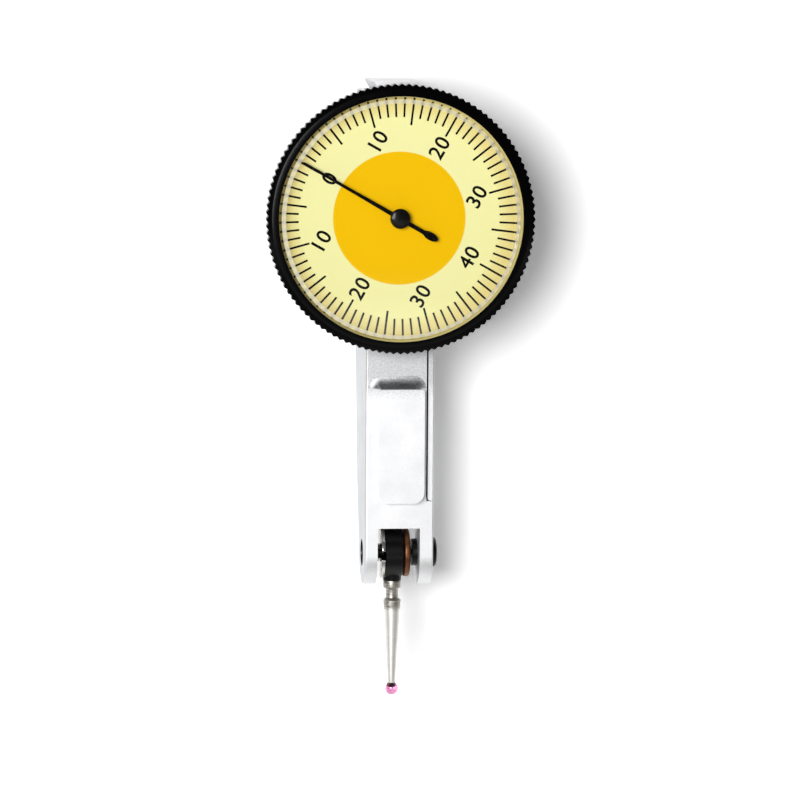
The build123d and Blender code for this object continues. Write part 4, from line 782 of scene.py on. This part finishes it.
class INDICATOR_OT_crystal(bpy.types.Operator):
    """The clear domed window"""

    bl_idname = "indicator.crystal"
    bl_label = "Crystal"

    def execute(self, context):
        acrylic = moulded_acrylic()
        settings = context.scene.indicator_crystal
        flange_r = CRYSTAL_HIGH.x
        window_r = context.scene.indicator_bezel.window_r - settings.gap
        inner_r = flange_r - settings.rim
        low = CRYSTAL_LOW.z
        top = CRYSTAL_HIGH.z
        shoulder = low + settings.flange_height
        dome_z = top - settings.dome_height
        ledge = dome_z - settings.bevel_height
        ledge_r = window_r - settings.ledge_width
        dome_r = ledge_r - settings.bevel_width
        outline = [(inner_r, low), (flange_r, low), (flange_r, shoulder), (window_r, shoulder)]
        outline += [(window_r, ledge), (ledge_r, ledge)]
        outline += self.dome(dome_r, dome_z, top)
        inside_top = top - settings.thickness
        inside_edge = inside_top - settings.dome_height * (inner_r / dome_r) ** 2
        outline += reversed(self.dome(inner_r, inside_edge, inside_top))
        mesh = lathe("crystal_window", outline, 256, 18)
        piece("crystal_window", mesh, acrylic, "bezel", ["crystal"])
        mesh.materials.append(turned_acrylic())
        for face in mesh.polygons:
            out = sqrt(face.center.x**2 + face.center.y**2)
            if dome_r < out < ledge_r and face.center.z > ledge - 0.01 * MM:
                face.material_index = 1
        return {"FINISHED"}

    def dome(self, edge_r, edge_z, top_z):
        """A shallow dome's outline from its edge to the axis."""
        rise = top_z - edge_z
        ball = (edge_r**2 + rise**2) / (2 * rise)
        steps = 28
        rs = [edge_r * (1 - i / steps) for i in range(steps + 1)]
        return [(r, top_z - ball + sqrt(ball**2 - r**2)) for r in rs]


class INDICATOR_OT_pointer(bpy.types.Operator):
    """The pointer and its domed hub"""

    bl_idname = "indicator.pointer"
    bl_label = "Pointer"

    def execute(self, context):
        settings = context.scene.indicator_pointer
        lacquer = stoved_lacquer()
        mesh = plate("needle", self.outline(settings), POINTER_LOW.z, POINTER_HIGH.z, 0.03 * MM)
        mesh.transform(Matrix.Rotation(settings.turn, 4, "Z"))
        piece("needle", mesh, lacquer, "pointer", ["pointer"])
        hub_r = HUB_HIGH.x
        shoulder = HUB_HIGH.z - settings.hub_dome
        turns = [radians(t) for t in range(0, 90, 9)]
        dome = [(hub_r * cos(t), shoulder + settings.hub_dome * sin(t)) for t in turns]
        outline = [(0, HUB_LOW.z), (hub_r, HUB_LOW.z)] + dome + [(0, HUB_HIGH.z)]
        mesh = lathe("hub_cap", outline, 64, 40)
        piece("hub_cap", mesh, lacquer, "pointer", ["pointer_hub"])
        return {"FINISHED"}

    def outline(self, settings):
        """The needle's outline along +X: a tapering blade, a straight tail and an oval weight."""
        half = [
            (settings.tip_r, 0.0),
            (settings.tip_r - 0.5 * MM, settings.tip_width / 2),
            (settings.tip_r * 0.45, settings.tip_width * 0.6),
            (0.9 * MM, settings.root_width / 2),
            (-0.9 * MM, settings.root_width / 2),
        ]
        long, wide = settings.weight_length / 2, settings.weight_width / 2
        reach = settings.tail_r - long
        half.append((-reach + long * 0.86, settings.root_width * 0.46))
        half += [(x * long - reach, y * wide) for x, y in arc((0, 0), 1, 60, 180, 10)]
        half[-1] = (half[-1][0], 0.0)  # the tail's end stands on the axis
        return half + [(x, -y) for x, y in reversed(half[1:-1])]


class INDICATOR_OT_body(bpy.types.Operator):
    """The milled body and its side cover, with broken edges"""

    bl_idname = "indicator.body"
    bl_label = "Body"

    def execute(self, context):
        settings = context.scene.indicator_body
        satin = satin_chrome()
        mesh = broken_edges("body", "milled_body", settings.edge / MM)
        piece("milled_body", mesh, satin, "case", ["body"])
        mesh.materials.append(black_oxide())
        mesh.materials.append(shaded_ground_flank())
        self.choose_finishes(mesh)
        mesh = broken_edges("side_cover", "cover_plate", 0.1)
        piece("cover_plate", mesh, satin, "case", ["side_cover"])
        # the run-out's darker chrome is painted shade
        piece("cutter_run_out", self.run_out(settings), run_out_shade_chrome(), "case")
        # a black strip in the seam: painted shade of the gap
        piece("seam_shade", self.seam(settings), seam_painted_shade(), "case")
        return {"FINISHED"}

    def seam(self, settings):
        """A strip of painted shade round the cover: down its left side, round its lower corner and off to
        the right.
        """
        width = settings.seam_width
        high = COVER_HIGH.z + 0.012 * MM
        low = COVER_HIGH.z - 0.8 * MM
        turn = 0.5 * MM
        start_y = -15 * MM  # under the bezel
        x, y = COVER_LOW.x - width / 2, COVER_LOW.y - width * 0.3
        # each stop: its place, the way across the line, and the share of the full width
        path = [((x, start_y), (1, 0), 1.0), ((x, y + turn), (1, 0), 1.0)]
        for t in (30, 60, 90):
            way = (cos(radians(t)), sin(radians(t)))
            path.append(((x + turn - turn * way[0], y + turn - turn * way[1]), way, 1.0 - t / 150))
        path.append(((COVER_HIGH.x - 0.3 * MM, y), (0, 1), 0.4))
        rows = []
        for (px, py), way, share in path:
            half = (way[0] * width / 2 * share, way[1] * width / 2 * share)
            left, right = (px - half[0], py - half[1]), (px + half[0], py + half[1])
            rows.append([(*left, low), (*right, low), (*right, high), (*left, high)])
        return bar("seam_shade", rows)

    def choose_finishes(self, mesh):
        """Black oxide in the left screw's recess, which chrome doesn't reach; its black also stands in for
        the shade in the bore, as painted shade. The left flank gets the ground chrome, painted darker as
        painted shade.
        """
        axis = (LEFT_SCREW_LOW + LEFT_SCREW_HIGH) / 2
        reach = (LEFT_SCREW_HIGH.z - LEFT_SCREW_LOW.z) / 2 + 0.4 * MM
        mouth = FLANK_X + 0.05 * MM
        for face in mesh.polygons:
            out = sqrt((face.center.y - axis.y) ** 2 + (face.center.z - axis.z) ** 2)
            # the recess's black is partly oxide, partly painted shade of the bore
            if out < reach and mouth < face.center.x < LEFT_SCREW_HIGH.x:
                face.material_index = 1
            # the left flank: its darker chrome is painted shade
            elif face.normal.x < -0.8:
                face.material_index = 2

    def run_out(self, settings):
        """The hollow slope that the cutter left where it lifted at the front rail's upper end."""
        top_y, mid_x = settings.pad_top_y, settings.run_out_x
        ground = COVER_HIGH.z
        half = settings.run_out_width / 2
        radius = settings.run_out_r
        sunk = 0.02 * MM  # into the body, so that nothing shows under it
        spine = [((mid_x - half, top_y), t) for t in range(180, 90, -9)]
        spine += [((mid_x - half + 2 * half * i / 8, top_y), 90) for i in range(9)]
        spine += [((mid_x + half, top_y), t) for t in range(81, -1, -9)]
        rows = []
        for (x, y), turn in spine:
            way = (cos(radians(turn)), sin(radians(turn)))
            slope = [(radius + p, radius + q) for p, q in arc((0, 0), radius, 180, 270, 14)]
            section = [(0, -sunk), (-0.03 * MM, radius)] + slope + [(radius, -sunk)]
            rows.append([(x + d * way[0], y + d * way[1], ground + h) for d, h in section])
        mesh = bar("cutter_run_out", rows)
        smooth_by_angle(mesh, 40)
        return mesh


class INDICATOR_OT_fork(bpy.types.Operator):
    """What sits in the fork: screws, bush, flange, washer and nut"""

    bl_idname = "indicator.fork"
    bl_label = "Fork"

    def execute(self, context):
        oxide = black_oxide()
        steel = turned_steel()
        bronze = sprung_bronze()
        rows = [
            ("left_pivot_screw", "left_screw", 0.04, oxide, "case", "dark_steel"),
            ("right_pivot_bush", "bush", 0.05, oxide, "case", "dark_steel"),
            ("right_pivot_screw", "right_screw", 0.04, oxide, "case", "dark_steel"),
            ("lever", "lever_plate", 0.04, steel, "lever", "bright_steel"),
            ("friction_washer", "sprung_washer", 0.04, bronze, "lever", "copper"),
            ("clamp_nut", "flat_nut", 0.03, oxide, "lever", "dark_steel"),
            ("lever_axle", "axle", 0.02, oxide, "lever", "dark_steel"),
            ("cover_screws", "cover_screw_heads", 0.03, steel, "case", "bright_steel"),
        ]
        for node, name, edge_mm, material, body, slot in rows:
            mesh = broken_edges(node, name, edge_mm)
            piece(name, mesh, material, body, [node])
        return {"FINISHED"}


class INDICATOR_OT_stylus(bpy.types.Operator):
    """The stylus: hub, turned shank and ruby ball"""

    bl_idname = "indicator.stylus"
    bl_label = "Stylus"

    def execute(self, context):
        oxide = black_oxide()
        mesh = broken_edges("stylus_hub", "hub_drum", 0.06)
        piece("hub_drum", mesh, oxide, "stylus", ["stylus_hub"])
        steel = ground_tool_steel()
        mesh = broken_edges("stylus_shank", "shank", 0.05)
        piece("shank", mesh, steel, "stylus", ["stylus_shank"])
        piece("contact_ball", self.ball(), ball_ruby(), "stylus", ["ruby_ball"])
        glue = seat_glue()
        top = BALL_R - 0.06 * MM
        neck_r, seat_r = 0.42 * MM, 0.5 * MM
        outline = [(0, top), (neck_r, top), (seat_r, top - 0.2 * MM), (neck_r, top - 0.75 * MM)]
        outline.append((0, top - 0.95 * MM))
        mesh = lathe("ball_seat", outline, 32, 40)
        mesh.transform(Matrix.Translation(BALL) @ Matrix.Rotation(-pi / 2, 4, "X"))
        piece("ball_seat", mesh, glue, "stylus")
        return {"FINISHED"}

    def ball(self):
        """The contact ball, turned as a half outline with its poles on the stylus's axis."""
        steps = 32
        turns = [pi * i / steps for i in range(steps + 1)]
        outline = [(BALL_R * sin(t), -BALL_R * cos(t)) for t in turns]
        mesh = lathe("contact_ball", outline, 64, 60)
        mesh.transform(Matrix.Translation(BALL) @ Matrix.Rotation(pi / 2, 4, "X"))
        return mesh


class INDICATOR_OT_movement(bpy.types.Operator):
    """Finishes of the parts inside: brass wheels, steel arbors, jewels, springs and seals"""

    bl_idname = "indicator.movement"
    bl_label = "Movement"

    def execute(self, context):
        finishes = inside_finishes()
        for row in frame["record"]["subparts"]:
            node = frame["nodes"][row["node"]]
            if row["material_slot"] in finishes and not node.hide_render:
                node.data.materials[0] = finishes[row["material_slot"]]
        return {"FINISHED"}


class INDICATOR_OT_stage(bpy.types.Operator):
    """Floor, lamps, world and the photograph's camera"""

    bl_idname = "indicator.stage"
    bl_label = "Stage"

    def execute(self, context):
        settings = context.scene.indicator_stage
        self.floor(settings)
        self.lamp(settings.key)
        self.world(settings)
        self.camera(settings)
        context.scene.view_settings.view_transform = "Standard"
        return {"FINISHED"}

    def floor(self, settings):
        """A pale floor. The camera sees it nearly half as bright again as it is, so that it reads as white
        round the shadow, and it glows a little in mirrors for the same reason."""
        pale, brighter = 0.93, 0.42
        material, tree = new_material("White card")
        path = add(tree, "ShaderNodeLightPath")
        mirrors = {0: (path, "Is Glossy Ray"), 1: (path, "Is Transmission Ray")}
        seen = add(tree, "ShaderNodeMath", mirrors, operation="MAXIMUM")
        lift = add(tree, "ShaderNodeMath", {0: (seen, "Value"), 1: settings.glow}, operation="MULTIPLY")
        shown = {0: (path, "Is Camera Ray"), 1: brighter, 2: pale}
        tone = add(tree, "ShaderNodeMath", shown, operation="MULTIPLY_ADD")
        matt = add(tree, "ShaderNodeBsdfDiffuse", {"Color": (tone, "Value")})
        glow = add(tree, "ShaderNodeEmission", {"Color": grey(1.0), "Strength": (lift, "Value")})
        both = add(tree, "ShaderNodeAddShader", {0: (matt, "BSDF"), 1: (glow, "Emission")})
        add(tree, "ShaderNodeOutputMaterial", {"Surface": (both, "Shader")})
        mesh = bpy.data.meshes.new("floor")
        mesh.from_pydata([(-1, -1, 0), (1, -1, 0), (1, 1, 0), (-1, 1, 0)], [], [(0, 1, 2, 3)])
        mesh.materials.append(material)
        floor = bpy.data.objects.new("floor", mesh)
        bpy.context.scene.collection.objects.link(floor)
        floor.location.z = -0.02 * MM  # clear of the back's face

    def lamp(self, power):
        """A large soft lamp, high up at the left, that points at the part's middle."""
        place = Vector((-0.29, 0.1, 0.8))
        light = bpy.data.lights.new("Key", "AREA")
        light.shape = "DISK"
        light.size = 0.36
        light.energy = power
        lamp = bpy.data.objects.new("Key", light)
        bpy.context.scene.collection.objects.link(lamp)
        lamp.location = place
        aim = Vector((0, -0.02, 0.015)) - place
        lamp.rotation_euler = aim.to_track_quat("-Z", "Y").to_euler()

    def world(self, settings):
        """A pale tent, brightest high up, with a dark gap beside the camera where the photographer stands,
        and a white card beyond the stylus, which its metal and the ball mirror."""
        world = bpy.data.worlds.new("Studio")
        bpy.context.scene.world = world
        world.use_nodes = True
        tree = world.node_tree
        tree.nodes.clear()
        place = add(tree, "ShaderNodeTexCoord")
        height = add(tree, "ShaderNodeSeparateXYZ", {"Vector": (place, "Generated")})
        tones = [(0.0, grey(0.25)), (0.5, grey(0.4)), (0.85, grey(0.85)), (1.0, grey(1.0))]
        cloth = add(tree, "ShaderNodeValToRGB", {"Fac": (height, "Z")}, tones)
        # the gap is an oval, seen from above: where its middle stands, and half its width each way
        middle = (-0.1, -0.08, 0)
        halves = (1 / 0.36, 1 / 0.26, 0)
        from_above = {"Vector": (place, "Generated"), "Location": middle, "Scale": (1, 1, 0)}
        gap = add(tree, "ShaderNodeMapping", from_above)
        wide = add(tree, "ShaderNodeVectorMath", {0: (gap, "Vector"), 1: halves}, operation="MULTIPLY")
        far = add(tree, "ShaderNodeVectorMath", {0: (wide, "Vector")}, operation="LENGTH")
        gap_edge = [(0.8, grey(0.08)), (1.0, grey(1.0))]
        open_sky = add(tree, "ShaderNodeValToRGB", {"Fac": (far, "Value")}, gap_edge)
        horizon = [(0.0, grey(1.0)), (0.02, grey(0.0))]
        below = add(tree, "ShaderNodeValToRGB", {"Fac": (height, "Z")}, horizon)
        either = {0: (open_sky, "Color"), 1: (below, "Color")}
        open_all = add(tree, "ShaderNodeMath", either, operation="MAXIMUM")
        shaded = {0: (cloth, "Color"), 1: (open_all, "Value")}
        tent = add(tree, "ShaderNodeMath", shaded, operation="MULTIPLY")
        down = add(tree, "ShaderNodeMath", {0: (height, "Y"), 1: -1.0}, operation="MULTIPLY")
        bands = [(0.17, grey(0)), (0.21, grey(0.8)), (0.32, grey(0.8))]
        bands += [(0.42, grey(0.12)), (0.75, grey(0.2)), (0.95, grey(1))]
        card = add(tree, "ShaderNodeValToRGB", {"Fac": (down, "Value")}, bands)
        sum_of_both = {0: (card, "Color"), 1: settings.card * 3.3, 2: (tent, "Value")}
        tone = add(tree, "ShaderNodeMath", sum_of_both, operation="MULTIPLY_ADD")
        path = add(tree, "ShaderNodeLightPath")
        plain = add(tree, "ShaderNodeBackground", {"Color": (tone, "Value"), "Strength": settings.world})
        white = add(tree, "ShaderNodeBackground", {"Color": grey(1.0), "Strength": 1.0})
        choice = {0: (path, "Is Camera Ray"), 1: (plain, "Background"), 2: (white, "Background")}
        mixed = add(tree, "ShaderNodeMixShader", choice)
        add(tree, "ShaderNodeOutputWorld", {"Surface": (mixed, "Shader")})

    def camera(self, settings):
        """The photograph's camera: its place from the angles, its aim from where the dial's middle shows."""
        dial = Vector((0, 0, BEZEL_FACE_Z - 1.6 * MM))
        left, above = settings.azimuth, settings.elevation
        away = Vector((-sin(left) * cos(above), sin(above), cos(left) * cos(above)))
        place = dial + away * settings.distance
        focal = settings.scale * settings.distance / MM
        wanted = (DIAL_PIXEL[0] - IMAGE[0] / 2, IMAGE[1] / 2 - DIAL_PIXEL[1])
        look = (-away).normalized()
        for _ in range(30):
            right = look.cross(Vector((0, 1, 0))).normalized()
            up = right.cross(look)
            x_axis = right * cos(settings.roll) + up * sin(settings.roll)
            y_axis = up * cos(settings.roll) - right * sin(settings.roll)
            to_dial = dial - place
            depth = to_dial.dot(look)
            off = (
                focal * to_dial.dot(x_axis) / depth - wanted[0],
                focal * to_dial.dot(y_axis) / depth - wanted[1],
            )
            look = (look + x_axis * off[0] / focal + y_axis * off[1] / focal).normalized()
        data = bpy.data.cameras.new("Camera")
        data.sensor_width = SENSOR
        data.lens = SENSOR * focal / IMAGE[0]
        data.clip_start = 0.01
        camera = bpy.data.objects.new("Camera", data)
        bpy.context.scene.collection.objects.link(camera)
        axes = Matrix((x_axis, y_axis, -look)).transposed()
        camera.matrix_world = Matrix.Translation(place) @ axes.to_4x4()
        bpy.context.scene.camera = camera


class INDICATOR_PT_panel(bpy.types.Panel):
    """Sidebar panel with the part's pieces and their settings"""

    bl_label = "Dial test indicator"
    bl_idname = "INDICATOR_PT_panel"
    bl_space_type = "VIEW_3D"
    bl_region_type = "UI"
    bl_category = "Indicator"

    def draw(self, context):
        for group in SETTINGS:
            settings = getattr(context.scene, group)
            box = self.layout.box()
            for key in settings.bl_rna.properties.keys():
                if key not in ("rna_type", "name"):
                    box.prop(settings, key)
        for operator in OPERATORS:
            self.layout.operator(operator.bl_idname)


OPERATORS = (
    INDICATOR_OT_stage,
    INDICATOR_OT_body,
    INDICATOR_OT_fork,
    INDICATOR_OT_stylus,
    INDICATOR_OT_bezel,
    INDICATOR_OT_dial,
    INDICATOR_OT_crystal,
    INDICATOR_OT_pointer,
    INDICATOR_OT_movement,
)
SETTINGS = {
    "indicator_dial": DialSettings,
    "indicator_bezel": BezelSettings,
    "indicator_crystal": CrystalSettings,
    "indicator_pointer": PointerSettings,
    "indicator_body": BodySettings,
    "indicator_stage": StageSettings,
}
CLASSES = (*SETTINGS.values(), *OPERATORS, INDICATOR_PT_panel)


def register():
    for cls in CLASSES:
        bpy.utils.register_class(cls)
    for name, settings in SETTINGS.items():
        setattr(bpy.types.Scene, name, PointerProperty(type=settings))


def unregister():
    for name in reversed(SETTINGS):
        delattr(bpy.types.Scene, name)
    for cls in reversed(CLASSES):
        bpy.utils.unregister_class(cls)


def main():
    register()
    bpy.ops.indicator.stage()
    bpy.ops.indicator.body()
    bpy.ops.indicator.fork()
    bpy.ops.indicator.stylus()
    bpy.ops.indicator.bezel()
    bpy.ops.indicator.dial()
    bpy.ops.indicator.crystal()
    bpy.ops.indicator.pointer()
    bpy.ops.indicator.movement()


if __name__ == "__main__":
    main()
